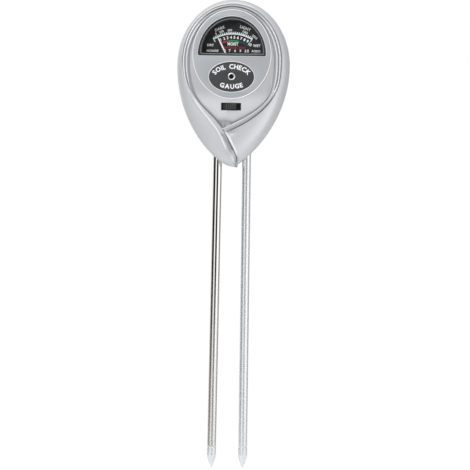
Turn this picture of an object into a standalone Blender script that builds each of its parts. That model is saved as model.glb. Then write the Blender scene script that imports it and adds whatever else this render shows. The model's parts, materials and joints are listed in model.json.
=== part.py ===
# A three-way soil meter: a leaf-shaped head with a D-shaped window over a moving-coil needle
# movement, a three-place slide switch, a light cell behind a ringed hole, and two metal probes.
# Lengths are in millimetres and the helpers turn them into metres. The dial faces -Y, X is to
# the right of the dial, Z is up along the probes and is 0 at the probe points.
import math

import bmesh
import bpy
from mathutils import Matrix, Vector

mm = 0.001

# head
headHalf = 33.5
headMid = 240.5
headTop = 280.0
headLow = 180.0
tipShift = 2.9
wall = 2.0
rimGap = 0.15
rearDepth = 14.4
rearFlat = 0.35

# raised border of the face
faceMid = 243.0
faceHalf = 27.7
faceRise = 32.4
faceFoot = (-3.4, 202.0)
panelFront = 11.5
panelBack = 9.5
beadOut = 2.6
beadRise = 0.9

# fascia, window, badge
fasciaMid = 247.3
fasciaRx = 23.5
fasciaRz = 26.5
windowHalf = 20.4
windowLow = 246.3
windowTop = 269.8
badgeMid = 233.8
badgeRx = 13.7
badgeRz = 9.1
sensorHigh = 234.0
fit = 0.3

# movement
pivotHigh = 239.2
restAngle = -26.2
needleReach = 19.5
coreRadius = 4.0
yokeInner = 6.3
yokeOuter = 8.5
frameInner = 8.8
frameOuter = 10.2
legX = 11.5

# switch
switchHigh = 216.1
slotHalf = 6.0
slotTall = 4.4
knobHalf = 3.1

# probes
probeRadius = 2.6
probeAtPoint = 9.4
probeAtHead = 8.7
probeHeadHigh = 175.0
probeTop = 206.5
tipHigh = 13.0
probeLean = math.degrees(math.atan2(probeAtPoint - probeAtHead, probeHeadHigh))


# ---- scene and looks ----

for old in list(bpy.data.objects):
    bpy.data.objects.remove(old)

partsGroup = bpy.data.collections.new("SoilMoistureMeter")
toolsGroup = bpy.data.collections.new("Cutters")
toolsGroup.hide_render = True
bpy.context.scene.collection.children.link(partsGroup)
bpy.context.scene.collection.children.link(toolsGroup)


def look(name, color, roughness, metallic=0.0):
    made = bpy.data.materials.new(name)
    made.use_nodes = True
    shader = made.node_tree.nodes["Principled BSDF"]
    shader.inputs["Base Color"].default_value = (*color, 1.0)
    shader.inputs["Roughness"].default_value = roughness
    shader.inputs["Metallic"].default_value = metallic
    made.diffuse_color = (*color, 1.0)
    return made


silverPaint = look("silver_paint", (0.60, 0.61, 0.62), 0.38, 0.55)
fasciaGrey = look("fascia_grey", (0.66, 0.67, 0.68), 0.45, 0.45)
badgeDark = look("badge_dark", (0.035, 0.037, 0.042), 0.5)
frameDark = look("frame_dark", (0.09, 0.095, 0.10), 0.35)
clearPlastic = look("clear_plastic", (0.92, 0.95, 0.96), 0.04)
dialBlack = look("dial_black", (0.012, 0.012, 0.014), 0.55)
needleWhite = look("needle_white", (0.88, 0.88, 0.86), 0.45)
blackPlastic = look("black_plastic", (0.02, 0.02, 0.022), 0.42)
nickel = look("nickel_bright", (0.72, 0.72, 0.73), 0.09, 1.0)
aluminium = look("aluminium_satin", (0.70, 0.71, 0.72), 0.3, 1.0)
steel = look("steel", (0.55, 0.55, 0.56), 0.28, 1.0)
brass = look("brass", (0.74, 0.57, 0.28), 0.3, 1.0)
copper = look("copper_wire", (0.68, 0.30, 0.16), 0.35, 1.0)
magnetGrey = look("magnet_grey", (0.22, 0.22, 0.23), 0.45, 0.8)
boardGreen = look("board_laminate", (0.45, 0.30, 0.13), 0.55)
cellDark = look("cell_dark", (0.03, 0.02, 0.05), 0.15)
resistorTan = look("resistor_tan", (0.72, 0.58, 0.38), 0.5)
redSleeve = look("lead_red", (0.55, 0.03, 0.03), 0.45)
blackSleeve = look("lead_black", (0.02, 0.02, 0.02), 0.45)


# ---- helpers ----


def asTool(obj):
    for group in list(obj.users_collection):
        group.objects.unlink(obj)
    toolsGroup.objects.link(obj)
    obj.hide_render = True
    obj.display_type = "WIRE"
    return obj


def fromBmesh(name, bm, material, smooth=True):
    mesh = bpy.data.meshes.new(name)
    bm.to_mesh(mesh)
    bm.free()
    if smooth:
        mesh.shade_smooth()
        mesh.set_sharp_from_angle(angle=math.radians(32))
    if material:
        mesh.materials.append(material)
    obj = bpy.data.objects.new(name, mesh)
    partsGroup.objects.link(obj)
    return obj


def block(name, x, y, z, material=None):
    # a box between two values on each axis
    bm = bmesh.new()
    bmesh.ops.create_cube(bm, size=1.0)
    size = [(pair[1] - pair[0]) * mm for pair in (x, y, z)]
    mid = [(pair[1] + pair[0]) / 2 * mm for pair in (x, y, z)]
    bmesh.ops.scale(bm, vec=size, verts=bm.verts)
    bmesh.ops.translate(bm, vec=mid, verts=bm.verts)
    return fromBmesh(name, bm, material, smooth=False)


def rod(name, axis, at, radius, span, material=None, sides=20, endRadius=None):
    # a round bar along X, Y or Z: at holds its place on the other two axes
    bm = bmesh.new()
    top = radius if endRadius is None else endRadius
    depth = span[1] - span[0]
    bmesh.ops.create_cone(
        bm,
        cap_ends=True,
        segments=sides,
        radius1=radius * mm,
        radius2=top * mm,
        depth=depth * mm,
    )
    middle = (span[0] + span[1]) / 2
    if axis == "Y":
        turn = Matrix.Rotation(math.radians(-90), 4, "X")
        place = Vector((at[0], middle, at[1]))
    elif axis == "X":
        turn = Matrix.Rotation(math.radians(90), 4, "Y")
        place = Vector((middle, at[0], at[1]))
    else:
        turn = Matrix.Identity(4)
        place = Vector((at[0], at[1], middle))
    bmesh.ops.transform(bm, matrix=Matrix.Translation(place * mm) @ turn, verts=bm.verts)
    return fromBmesh(name, bm, material)


def turned(name, profile, at, faces, material=None, steps=24):
    # a profile of (radius, height) pairs from top to bottom, turned about its own axis
    mesh = bpy.data.meshes.new(name)
    points = [(radius * mm, 0.0, high * mm) for radius, high in profile]
    edges = [(i, i + 1) for i in range(len(points) - 1)]
    if profile[0] == profile[-1]:
        points.pop()
        edges[-1] = (len(points) - 1, 0)
    mesh.from_pydata(points, edges, [])
    if material:
        mesh.materials.append(material)
    obj = bpy.data.objects.new(name, mesh)
    partsGroup.objects.link(obj)
    obj.location = Vector(at) * mm
    tilt = {"front": 90.0, "rear": -90.0, "up": 0.0}[faces]
    obj.rotation_euler = (math.radians(tilt), 0.0, 0.0)
    spin = obj.modifiers.new("Turn", "SCREW")
    spin.axis = "Z"
    spin.angle = math.tau
    spin.steps = steps
    spin.render_steps = steps
    spin.use_merge_vertices = True
    spin.merge_threshold = 0.000002
    return obj


def meshFromCurve(obj):
    # the curve's evaluated mesh with its caps welded, in the curve's place
    bpy.context.view_layer.update()
    evaluated = obj.evaluated_get(bpy.context.evaluated_depsgraph_get())
    mesh = bpy.data.meshes.new_from_object(evaluated)
    bm = bmesh.new()
    bm.from_mesh(mesh)
    bmesh.ops.remove_doubles(bm, verts=bm.verts, dist=1e-6)
    bm.to_mesh(mesh)
    bm.free()
    name = obj.name
    place = obj.matrix_world.copy()
    bpy.data.objects.remove(obj)
    made = bpy.data.objects.new(name, mesh)
    made.matrix_world = place
    partsGroup.objects.link(made)
    return made


def plate(name, loops, y, material=None):
    # closed outlines of (x, z) points filled between two depths: inner outlines are holes
    curve = bpy.data.curves.new(name, "CURVE")
    curve.dimensions = "2D"
    curve.fill_mode = "BOTH"
    curve.extrude = (y[1] - y[0]) / 2 * mm
    for loop in loops:
        spline = curve.splines.new("POLY")
        spline.points.add(len(loop) - 1)
        spline.use_cyclic_u = True
        for point, (x, z) in zip(spline.points, loop):
            point.co = (x * mm, z * mm, 0.0, 1.0)
    if material:
        curve.materials.append(material)
    obj = bpy.data.objects.new(name, curve)
    partsGroup.objects.link(obj)
    obj.rotation_euler = (math.radians(90), 0.0, 0.0)
    obj.location = (0.0, (y[0] + y[1]) / 2 * mm, 0.0)
    return meshFromCurve(obj)


def wire(name, points, radius, material=None, steps=7):
    # a lead through the given places, on a smooth path with an even number of steps between
    path = []
    ends = [points[0]] + list(points) + [points[-1]]
    for i in range(1, len(ends) - 2):
        a, b, c, d = [Vector(p) for p in ends[i - 1 : i + 3]]
        for k in range(steps):
            t = k / steps
            path.append(
                0.5
                * (
                    2 * b
                    + (c - a) * t
                    + (2 * a - 5 * b + 4 * c - d) * t * t
                    + (3 * b - a - 3 * c + d) * t**3
                )
            )
    path.append(Vector(points[-1]))
    curve = bpy.data.curves.new(name, "CURVE")
    curve.dimensions = "3D"
    curve.bevel_depth = radius * mm
    curve.bevel_resolution = 2
    curve.use_fill_caps = True
    spline = curve.splines.new("POLY")
    spline.points.add(len(path) - 1)
    for point, place in zip(spline.points, path):
        point.co = (*(place * mm), 1.0)
    if material:
        curve.materials.append(material)
    obj = bpy.data.objects.new(name, curve)
    partsGroup.objects.link(obj)
    return obj


def boolean(obj, tools, kind):
    # all the tools act in one step, from a group of their own
    step = obj.modifiers.new(kind.title(), "BOOLEAN")
    step.operation = kind
    step.solver = "EXACT"
    if len(tools) == 1:
        step.object = asTool(tools[0])
        return obj
    group = bpy.data.collections.new(f"{obj.name}_{kind.lower()}")
    toolsGroup.children.link(group)
    for tool in tools:
        asTool(tool)
        toolsGroup.objects.unlink(tool)
        group.objects.link(tool)
    step.operand_type = "COLLECTION"
    step.collection = group
    return obj


def cut(obj, *tools):
    return boolean(obj, tools, "DIFFERENCE")


def join(obj, *tools):
    return boolean(obj, tools, "UNION")


def holder(name, at, lean=0.0):
    # an empty that carries pieces, leaning about Y
    obj = bpy.data.objects.new(name, None)
    obj.empty_display_size = 0.01
    partsGroup.objects.link(obj)
    obj.location = Vector(at) * mm
    obj.rotation_euler = (0.0, math.radians(lean), 0.0)
    return obj


def carry(parent, *objs):
    for obj in objs:
        obj.parent = parent
    return objs[0]


def ellipse(rx, rz, mid, count=44):
    return [
        (rx * math.cos(math.tau * i / count), mid + rz * math.sin(math.tau * i / count))
        for i in range(count)
    ]


def dShape(half, low, top, corner=2.2, count=26):
    # flat bottom with round corners, short straight sides, then half an ellipse
    shoulder = low + 0.13 * (top - low)
    points = []
    for i in range(count + 1):
        a = math.pi * i / count
        points.append((half * math.cos(a), shoulder + (top - shoulder) * math.sin(a)))
    for i in range(5):
        a = math.pi + math.pi / 2 * i / 4
        points.append((-half + corner + corner * math.cos(a), low + corner + corner * math.sin(a)))
    for i in range(5):
        a = -math.pi / 2 + math.pi / 2 * i / 4
        points.append((half - corner + corner * math.cos(a), low + corner + corner * math.sin(a)))
    return points


def screwSet(name, at, faces, headRadius, headTall, shankRadius, shankLong, material, slot=True):
    # a round-edged head over a straight shank with a pointed end, and a slot across the head
    edge = 0.25 * headTall
    profile = [
        (0.0, headTall),
        (headRadius - edge, headTall),
        (headRadius, headTall - edge),
        (headRadius, 0.0),
        (shankRadius, 0.0),
        (shankRadius, -shankLong + shankRadius),
        (0.0, -shankLong),
    ]
    obj = turned(name, profile, at, faces, material, steps=14)
    if slot:
        sign = -1.0 if faces == "front" else 1.0
        reach = headRadius * 1.3
        low = 0.45 * headTall
        if faces == "up":
            tool = block(
                name + "_slot",
                (at[0] - reach, at[0] + reach),
                (at[1] - 0.2, at[1] + 0.2),
                (at[2] + low, at[2] + headTall + 1.0),
            )
        else:
            ends = sorted((at[1] + sign * low, at[1] + sign * (headTall + 1.0)))
            tool = block(
                name + "_slot",
                (at[0] - reach, at[0] + reach),
                ends,
                (at[2] - 0.2, at[2] + 0.2),
            )
        cut(obj, tool)
    return obj


# ---- outlines of the head ----


def headOutline(angle, shrink=0.0, low=headLow):
    # half ellipse over the middle; below it |cos| to a power draws the leaf point
    c = math.cos(angle)
    s = math.sin(angle)
    half = headHalf - shrink
    if s >= 0.0:
        return half * c, headMid + (headTop - shrink - headMid) * s
    power = 1.62 if c > 0.0 else 1.44
    x = math.copysign(half * abs(c) ** power, c)
    fromTip = math.degrees(angle % math.tau) - 270.0
    x += tipShift * math.exp(-((fromTip / 8.0) ** 2)) * (1.0 if shrink == 0.0 else 0.6)
    return x, headMid + (headMid - low) * s


def bezier(a, b, c, d, t):
    u = 1.0 - t
    return tuple(
        u**3 * a[i] + 3 * u * u * t * b[i] + 3 * u * t * t * c[i] + t**3 * d[i] for i in (0, 1)
    )


def faceOutline(angle):
    # half ellipse over the middle, and a Bezier on each side down to the meeting point
    turn = angle % math.tau
    if turn <= math.pi:
        return faceHalf * math.cos(turn), faceMid + faceRise * math.sin(turn)
    if turn > 1.5 * math.pi:
        t = (math.tau - turn) / (math.pi / 2)
        return bezier((faceHalf, faceMid), (faceHalf, 226.0), (15.0, 212.0), faceFoot, t)
    t = (turn - math.pi) / (math.pi / 2)
    return bezier((-faceHalf, faceMid), (-faceHalf, 226.0), (-17.0, 213.0), faceFoot, t)


def faceOffset(angle, out):
    # the face outline moved outward along its normal
    step = 0.02
    x0, z0 = faceOutline(angle - step)
    x1, z1 = faceOutline(angle + step)
    x, z = faceOutline(angle)
    long = math.hypot(x1 - x0, z1 - z0)
    return x + out * (z1 - z0) / long, z - out * (x1 - x0) / long


def footDepth(angle):
    # depth of the shoulder where it leaves the border: deepest at the leaf's foot
    return 11.55 - 1.95 * math.sin(angle)


def roundFall(s, power):
    return max(0.0, 1.0 - s**power) ** (1.0 / power)


def pebble(name, pole, rings, segments=52):
    # half a sphere whose rings of vertices are moved one by one onto the given rings
    bm = bmesh.new()
    count = len(rings)
    bmesh.ops.create_uvsphere(bm, u_segments=segments, v_segments=2 * count, radius=1.0)
    low = [v for v in bm.verts if v.co.z < -1e-4]
    bmesh.ops.delete(bm, geom=low, context="VERTS")
    bmesh.ops.edgeloop_fill(bm, edges=[e for e in bm.edges if e.is_boundary])
    for v in bm.verts:
        lat = math.acos(max(-1.0, min(1.0, v.co.z)))
        k = round(lat / (math.pi / 2) * count)
        if k == 0:
            v.co = Vector(pole) * mm
        else:
            v.co = Vector(rings[k - 1](math.atan2(v.co.y, v.co.x))) * mm
    bmesh.ops.triangulate(bm, faces=bm.faces)
    bmesh.ops.recalc_face_normals(bm, faces=bm.faces)
    return fromBmesh(name, bm, None)


def panelRing(k, depth):
    def ring(angle):
        x, z = faceOutline(angle)
        return x * k, -depth, 238.0 + (z - 238.0) * k

    return ring


def borderRing(out, rise):
    def ring(angle):
        x, z = faceOffset(angle, out)
        return x, -(footDepth(angle) + rise), z

    return ring


def shoulderRing(s, shrink, low, drop, depthAtRim=None):
    def ring(angle):
        fx, fz = faceOffset(angle, beadOut)
        hx, hz = headOutline(angle, shrink, low)
        if depthAtRim is None:
            depth = max(rimGap, (footDepth(angle) - drop) * roundFall(s, 2.2))
        else:
            depth = depthAtRim
        return fx + (hx - fx) * s, -depth, fz + (hz - fz) * s

    return ring


def rearRing(s, shrink, low, depthMid, depthAtRim=None):
    def ring(angle):
        hx, hz = headOutline(angle, shrink, low)
        t = max(0.0, (s - rearFlat) / (1.0 - rearFlat))
        depth = max(rimGap, depthMid * roundFall(t, 2.6))
        if depthAtRim is not None:
            depth = depthAtRim
        return hx * s, depth, headMid + (hz - headMid) * s

    return ring


coverScrewPlaces = [(-24.6, 256.0), (24.6, 256.0), (0.4, 190.5)]
movementPostX = 18.2
boardPostX = 10.5
boardPostZ = 224.0


def probeBore(side, radius, span, name):
    # a round tool on a probe's leaning axis
    obj = rod(name, "Z", (0.0, 0.0), radius, span, sides=24)
    lean = holder(name + "_axis", (side * probeAtPoint, 0.0, 0.0), -side * probeLean)
    obj.parent = lean
    return obj


# ---- covers ----


def makeFrontCover():
    flat = [panelRing(0.92, panelFront)]
    border = [borderRing(0.0, -0.6), borderRing(1.2, beadRise), borderRing(beadOut, 0.0)]

    def groove(angle):
        x, z = faceOutline(angle)
        return x, -(panelFront - 0.5), z

    border[0] = groove
    fall = [shoulderRing(s, 0.0, headLow, 0.0) for s in (0.22, 0.45, 0.66, 0.83, 0.94)]
    rim = [shoulderRing(1.0, 0.0, headLow, 0.0, rimGap)]
    cover = pebble("front_cover", (0.0, -panelFront, 238.0), flat + border + fall + rim)
    cover.data.materials.append(silverPaint)

    inside = [panelRing(0.95, panelBack)]
    inside += [borderRing(beadOut, -2.1)]
    inside += [shoulderRing(s, wall, 187.0, 2.1) for s in (0.4, 0.7, 0.9)]
    inside += [shoulderRing(1.0, wall, 187.0, 0.0, rimGap)]
    inside += [shoulderRing(1.0, wall, 187.0, 0.0, -1.0)]
    hollow = pebble("front_hollow", (0.0, -panelBack, 238.0), inside, segments=32)

    posts = []
    for i, (x, z) in enumerate(coverScrewPlaces):
        posts.append(rod(f"front_boss_{i}", "Y", (x, z), 2.43, (-20.0, 3.0), sides=20))
    for side in (-1, 1):
        posts.append(
            rod(f"movement_post_{side}", "Y", (side * movementPostX, pivotHigh), 2.4, (-20.0, -4.9))
        )
        posts.append(
            rod(f"board_post_{side}", "Y", (side * boardPostX, boardPostZ), 2.0, (-20.0, -3.2))
        )
    posts.append(block("front_pad", (-3.0, 3.0), (-20.0, -4.3), (199.0, 204.5)))
    cut(hollow, *posts)

    holes = [hollow]
    for i, (x, z) in enumerate(coverScrewPlaces):
        holes.append(rod(f"front_boss_hole_{i}", "Y", (x, z), 1.2, (-7.2, 3.0), sides=12))
    for side in (-1, 1):
        x = side * movementPostX
        holes.append(rod(f"movement_hole_{side}", "Y", (x, pivotHigh), 1.1, (-8.6, -3.0), sides=12))
        x = side * boardPostX
        holes.append(rod(f"board_hole_{side}", "Y", (x, boardPostZ), 1.1, (-8.2, -2.0), sides=12))
        holes.append(probeBore(side, probeRadius + fit, (150.0, 198.0), f"front_bore_{side}"))
    grow = fit
    pocket = ellipse(fasciaRx + grow, fasciaRz + grow, fasciaMid)
    holes.append(plate("fascia_pocket", [pocket], (-20.0, -10.6)))
    window = dShape(windowHalf, windowLow, windowTop, count=32)
    holes.append(plate("window_hole", [window], (-20.0, -5.0)))
    holes.append(rod("cell_hole", "Y", (0.0, sensorHigh), 2.7, (-20.0, -5.0)))
    tall = slotTall / 2
    holes.append(
        block(
            "switch_hole",
            (-slotHalf, slotHalf),
            (-20.0, -5.0),
            (switchHigh - tall, switchHigh + tall),
        )
    )

    # the crease between the two leaf halves, from the foot of the face to the point
    crease = []
    for i in range(9):
        t = i / 8
        x, z = bezier((-3.8, 200.4), (0.6, 194.0), (4.6, 187.5), (3.0, 180.9), t)
        depth = 13.5 * roundFall(min(1.0, 0.07 + 0.93 * t), 2.2)
        crease.append((x, -depth - 0.25, z))
    holes.append(meshFromCurve(wire("crease_tool", crease, 0.55, steps=2)))
    cut(cover, *holes)
    return cover


def makeRearCover():
    steps = (rearFlat, 0.5, 0.64, 0.76, 0.86, 0.94)
    outside = [rearRing(s, 0.0, headLow, rearDepth) for s in steps]
    outside += [rearRing(1.0, 0.0, headLow, rearDepth, rimGap)]
    cover = pebble("rear_cover", (0.0, rearDepth, headMid), outside)
    cover.data.materials.append(silverPaint)
    inside = [rearRing(s, wall, 187.0, rearDepth - wall) for s in (rearFlat, 0.55, 0.75, 0.9)]
    inside += [rearRing(1.0, wall, 187.0, 0.0, rimGap), rearRing(1.0, wall, 187.0, 0.0, -1.0)]
    hollow = pebble("rear_hollow", (0.0, rearDepth - wall, headMid), inside, segments=32)
    posts = []
    for i, (x, z) in enumerate(coverScrewPlaces):
        posts.append(rod(f"rear_boss_{i}", "Y", (x, z), 2.9, (-3.0, 20.0)))
    posts.append(block("rear_pad", (-3.0, 3.0), (4.3, 20.0), (199.0, 204.5)))
    cut(hollow, *posts)
    holes = [hollow]
    for i, (x, z) in enumerate(coverScrewPlaces):
        holes.append(rod(f"rear_boss_hole_{i}", "Y", (x, z), 1.2, (-3.0, 20.0), sides=12))
        holes.append(rod(f"rear_boss_well_{i}", "Y", (x, z), 2.0, (7.5, 20.0)))
    for side in (-1, 1):
        holes.append(probeBore(side, probeRadius + fit, (150.0, 198.0), f"rear_bore_{side}"))
    cut(cover, *holes)
    return cover


def makeCoverScrews():
    for i, (x, z) in enumerate(coverScrewPlaces):
        name = f"cover_screw_{i + 1}"
        screw = screwSet(name, (x, 7.8, z), "rear", 1.7, 1.2, 0.9, 13.8, steel)
        reach = block(name + "_cross", (x - 0.2, x + 0.2), (8.34, 12.0), (z - 2.2, z + 2.2))
        cut(screw, reach)


# ---- face pieces ----


def makeFace():
    hole = [
        ellipse(fasciaRx, fasciaRz, fasciaMid),
        dShape(windowHalf, windowLow, windowTop),
        ellipse(badgeRx + fit, badgeRz + fit, badgeMid),
    ]
    plate("fascia_plate", hole, (-11.5, -10.9), fasciaGrey)

    disc = [
        ellipse(badgeRx, badgeRz, badgeMid, 36),
        ellipse(2.6, 2.6, sensorHigh, 20),
    ]
    plate("badge", disc, (-11.7, -10.9), badgeDark)

    ring = [
        (1.4, 12.1),
        (2.0, 12.1),
        (2.3, 11.8),
        (2.3, 11.2),
        (1.4, 11.2),
        (1.4, 12.1),
    ]
    turned("sensor_ring", ring, (0.0, 0.0, sensorHigh), "front", aluminium, 24)

    cell = rod("light_cell", "Y", (0.0, sensorHigh), 2.4, (-10.9, -9.8), cellDark)
    cell.data.materials[0] = cellDark

    outer = dShape(windowHalf - fit, windowLow + fit, windowTop - fit)
    frame = plate("window_frame", [outer], (-11.8, -9.8), frameDark)
    sloped = plate("window_slope", [dShape(18.0, 248.0, 267.5)], (-1.0, 1.0))
    widen = sloped.data
    spread = 1.12
    for v in widen.vertices:
        if v.co.z > 0.0:
            v.co.x *= spread
            v.co.y = 0.2575 + (v.co.y - 0.2575) * spread
    sloped.scale = (1.0, 1.0, 1.6)
    sloped.location.y = -10.8 * mm
    cut(frame, sloped)

    lens = plate("window_lens", [dShape(22.0, 244.9, 271.3)], (-9.2, -8.2), clearPlastic)
    return lens


def makeDial():
    # the printed plate with a tab down each side to the movement frame
    main = plate("dial_plate", [dShape(22.5, 244.6, 271.6)], (-5.9, -5.3), dialBlack)
    tabs = []
    holes = []
    for side in (-1, 1):
        ends = sorted((side * 12.9, side * 15.3))
        tabs.append(block(f"dial_tab_{side}", ends, (-5.9, -5.3), (235.7, 246.0)))
        holes.append(rod(f"dial_hole_{side}", "Y", (side * 14.1, 238.0), 0.7, (-8.0, -3.0), sides=12))
    join(main, *tabs)
    cut(main, *holes)
    for side, word in ((-1, "left"), (1, "right")):
        place = (side * 14.1, -6.2, 238.0)
        screwSet(f"dial_screw_{word}", place, "front", 1.1, 0.7, 0.4, 3.7, brass)


# ---- needle movement ----


def loopFrame(name, reach, ends, half, thick, material):
    # a flat rectangular loop round the core: sides along Y, ends across it
    outer = block(name, (-reach, reach), (-ends, ends), (-half, half), material)
    inner = block(
        name + "_inside",
        (-reach + thick, reach - thick),
        (-ends + thick, ends - thick),
        (-half - 1.0, half + 1.0),
    )
    cut(outer, inner)
    return outer, inner


def makeNeedle():
    axis = holder("needle_axis", (0.0, 0.0, pivotHigh), restAngle)

    hub = plate("needle", [ellipse(1.3, 1.3, 0.0, 24), ellipse(0.7, 0.7, 0.0, 16)], (-7.3, -7.0))
    hub.data.materials.append(needleWhite)
    bm = bmesh.new()
    bmesh.ops.create_cube(bm, size=1.0)
    for v in bm.verts:
        top = v.co.z > 0.0
        v.co.x *= (0.62 if top else 0.95) * mm
        v.co.y = (-7.15 + v.co.y * 0.3) * mm
        v.co.z = (needleReach if top else 1.0) * mm
    pointer = fromBmesh("needle_pointer", bm, None, smooth=False)
    tail = block("needle_tail", (-0.35, 0.35), (-7.3, -7.0), (-5.0, -1.0))
    join(hub, pointer, tail)

    weight = rod("balance_weight", "Z", (0.0, -7.15), 1.0, (-4.6, -3.0), brass, 20)
    cut(weight, rod("weight_hole", "Z", (0.0, -7.15), 0.68, (-8.0, 0.0), sides=12))

    front = [(0.0, 8.5), (0.15, 8.2), (0.4, 7.9), (0.4, 5.5), (0.0, 5.5)]
    front = turned("front_pivot", front, (0.0, 0.0, 0.0), "front", steel, 16)
    rear = [(0.0, 7.6), (0.15, 7.3), (0.4, 7.0), (0.4, 5.5), (0.0, 5.5)]
    rear = turned("rear_pivot", rear, (0.0, 0.0, 0.0), "rear", steel, 16)

    former, formerTool = loopFrame("coil_former", 4.75, 4.5, 1.0, 0.4, aluminium)
    winding, windingTool = loopFrame("coil_winding", 5.6, 5.2, 0.9, 0.5, copper)
    carry(axis, hub, pointer, tail, weight, front, rear, former, formerTool, winding, windingTool)
    for tool in bpy.data.objects:
        if tool.name == "weight_hole":
            tool.parent = axis


def hairspring(name, depth):
    # a flat spiral: the radius grows evenly with the angle
    turns = 2.5
    count = 30
    points = []
    for i in range(count + 1):
        t = i / count
        a = math.tau * turns * t
        radius = 0.9 + 2.1 * t
        points.append((radius * math.cos(a), depth, pivotHigh + radius * math.sin(a)))
    obj = wire(name, points, 0.1, brass, steps=1)
    obj.data.bevel_resolution = 0
    return obj


def makeMovement():
    at = (0.0, 0.0, pivotHigh)
    core = rod("magnet_core", "Y", (0.0, pivotHigh), coreRadius, (-3.5, 3.5), magnetGrey, 24)
    bar = rod("core_bar", "Z", (0.0, 0.0), 0.8, (pivotHigh - 8.3, pivotHigh + 8.3), sides=12)
    join(core, bar)

    ring = [
        (yokeOuter, 3.5),
        (yokeOuter, -3.5),
        (yokeInner, -3.5),
        (yokeInner, 3.5),
        (yokeOuter, 3.5),
    ]
    yoke = turned("yoke_ring", ring, at, "front", steel, 28)
    cut(yoke, rod("yoke_hole", "Z", (0.0, 0.0), 1.1, (pivotHigh - 12, pivotHigh + 12), sides=12))

    sleeve = [
        (frameOuter, 4.6),
        (frameOuter, -5.2),
        (7.6, -5.2),
        (7.6, -3.8),
        (frameInner, -3.8),
        (frameInner, 4.6),
        (frameOuter, 4.6),
    ]
    frame = turned("movement_frame", sleeve, at, "front", blackPlastic, 28)
    extra = []
    holes = []
    for side in (-1, 1):
        ends = sorted((side * 9.6, side * 20.8))
        extra.append(block(f"lug_{side}", ends, (-4.6, -3.0), (235.2, 243.2)))
        high = pivotHigh + side * 10.8
        extra.append(rod(f"rear_boss_{side}", "Y", (0.0, high), 1.7, (0.0, 6.3), sides=20))
        holes.append(rod(f"rear_hole_{side}", "Y", (0.0, high), 0.7, (2.0, 8.0), sides=12))
        for x, z, radius in ((legX, pivotHigh, 0.7), (14.1, 238.0, 0.7), (18.2, pivotHigh, 1.1)):
            name = f"lug_hole_{side}_{x:.0f}"
            holes.append(rod(name, "Y", (side * x, z), radius, (-6.0, -2.0), sides=12))
    join(frame, *extra)
    cut(frame, *holes)

    bridge = block("front_bridge", (-12.8, 12.8), (-9.2, -8.4), (237.7, 240.7), brass)
    legs = []
    holes = [rod("front_bridge_hole", "Y", (0.0, pivotHigh), 1.4, (-12.0, -6.0), sides=20)]
    for side in (-1, 1):
        at2 = (side * legX, pivotHigh)
        legs.append(rod(f"leg_{side}", "Y", at2, 1.15, (-8.8, -4.9), sides=20))
        holes.append(rod(f"leg_hole_{side}", "Y", at2, 0.7, (-7.8, -4.0), sides=12))
    join(bridge, *legs)
    cut(bridge, *holes)

    back = block("rear_bridge", (-1.7, 1.7), (6.6, 7.6), (pivotHigh - 12.4, pivotHigh + 12.4), brass)
    holes = [rod("rear_bridge_hole", "Y", (0.0, pivotHigh), 1.4, (4.0, 9.0), sides=20)]
    for side in (-1, 1):
        high = pivotHigh + side * 10.8
        holes.append(rod(f"rear_bridge_hole_{side}", "Y", (0.0, high), 0.7, (4.0, 9.0), sides=12))
    cut(back, *holes)

    # each jewel screw is open on the side that the pivot enters
    jewel = [(0.0, 9.3), (1.1, 9.3), (1.1, 7.9), (0.7, 7.9), (0.7, 8.8), (0.0, 8.9)]
    turned("front_jewel_screw", jewel, at, "front", brass, 20)
    jewel = [(0.0, 8.4), (1.1, 8.4), (1.1, 7.0), (0.7, 7.0), (0.7, 7.9), (0.0, 8.0)]
    turned("rear_jewel_screw", jewel, at, "rear", brass, 20)

    for side, word in ((-1, "left"), (1, "right")):
        place = (side * legX, -2.7, pivotHigh)
        screwSet(f"front_bridge_screw_{word}", place, "rear", 1.0, 0.7, 0.4, 4.7, steel)
        place = (side * movementPostX, -2.7, pivotHigh)
        screwSet(f"movement_screw_{word}", place, "rear", 1.6, 0.9, 0.8, 5.4, steel)
    for side, word in ((-1, "lower"), (1, "upper")):
        place = (0.0, 7.9, pivotHigh + side * 10.8)
        screwSet(f"rear_bridge_screw_{word}", place, "rear", 1.2, 0.7, 0.4, 5.4, steel)

    hairspring("front_hairspring", -6.2)
    hairspring("rear_hairspring", 5.9)


# ---- switch and board ----


def makeSwitch():
    z = switchHigh
    cap = block("switch_knob", (-knobHalf, knobHalf), (-12.9, -8.7), (z - 1.9, z + 1.9), blackPlastic)
    tray = block("knob_tray", (-9.5, 9.5), (-9.1, -8.4), (z - 3.2, z + 3.2))
    stem = block("knob_stem", (-2.0, 2.0), (-8.7, -5.6), (z - 1.0, z + 1.0))
    join(cap, tray, stem)
    grooves = []
    for i in range(5):
        x = -2.2 + 1.1 * i
        grooves.append(
            block(f"knob_groove_{i}", (x - 0.25, x + 0.25), (-14.0, -12.3), (z - 3.0, z + 3.0))
        )
    cut(cap, *grooves)

    can = block("switch_can", (-8.6, 8.6), (-7.9, -4.6), (z - 3.4, z + 3.4), steel)
    room = block("can_room", (-8.2, 8.2), (-7.5, -3.0), (z - 3.0, z + 3.0))
    slot = block("can_slot", (-5.3, 5.3), (-10.0, -6.0), (z - 1.3, z + 1.3))
    cut(can, room, slot)

    base = block("switch_base", (-8.2, 8.2), (-4.3, -3.5), (z - 3.0, z + 3.0), resistorTan)
    pins = []
    for side in (-1, 1):
        for i in range(4):
            place = (-6.0 + 4.0 * i, z + side * 2.0)
            name = f"pin_{side}_{i}"
            pins.append(rod(name, "Y", place, 0.35, (-3.9, -0.8), sides=8))
    join(base, *pins)

    block("switch_contact", (-3.2, 3.2), (-5.3, -4.7), (z - 1.7, z + 1.7), brass)


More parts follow.
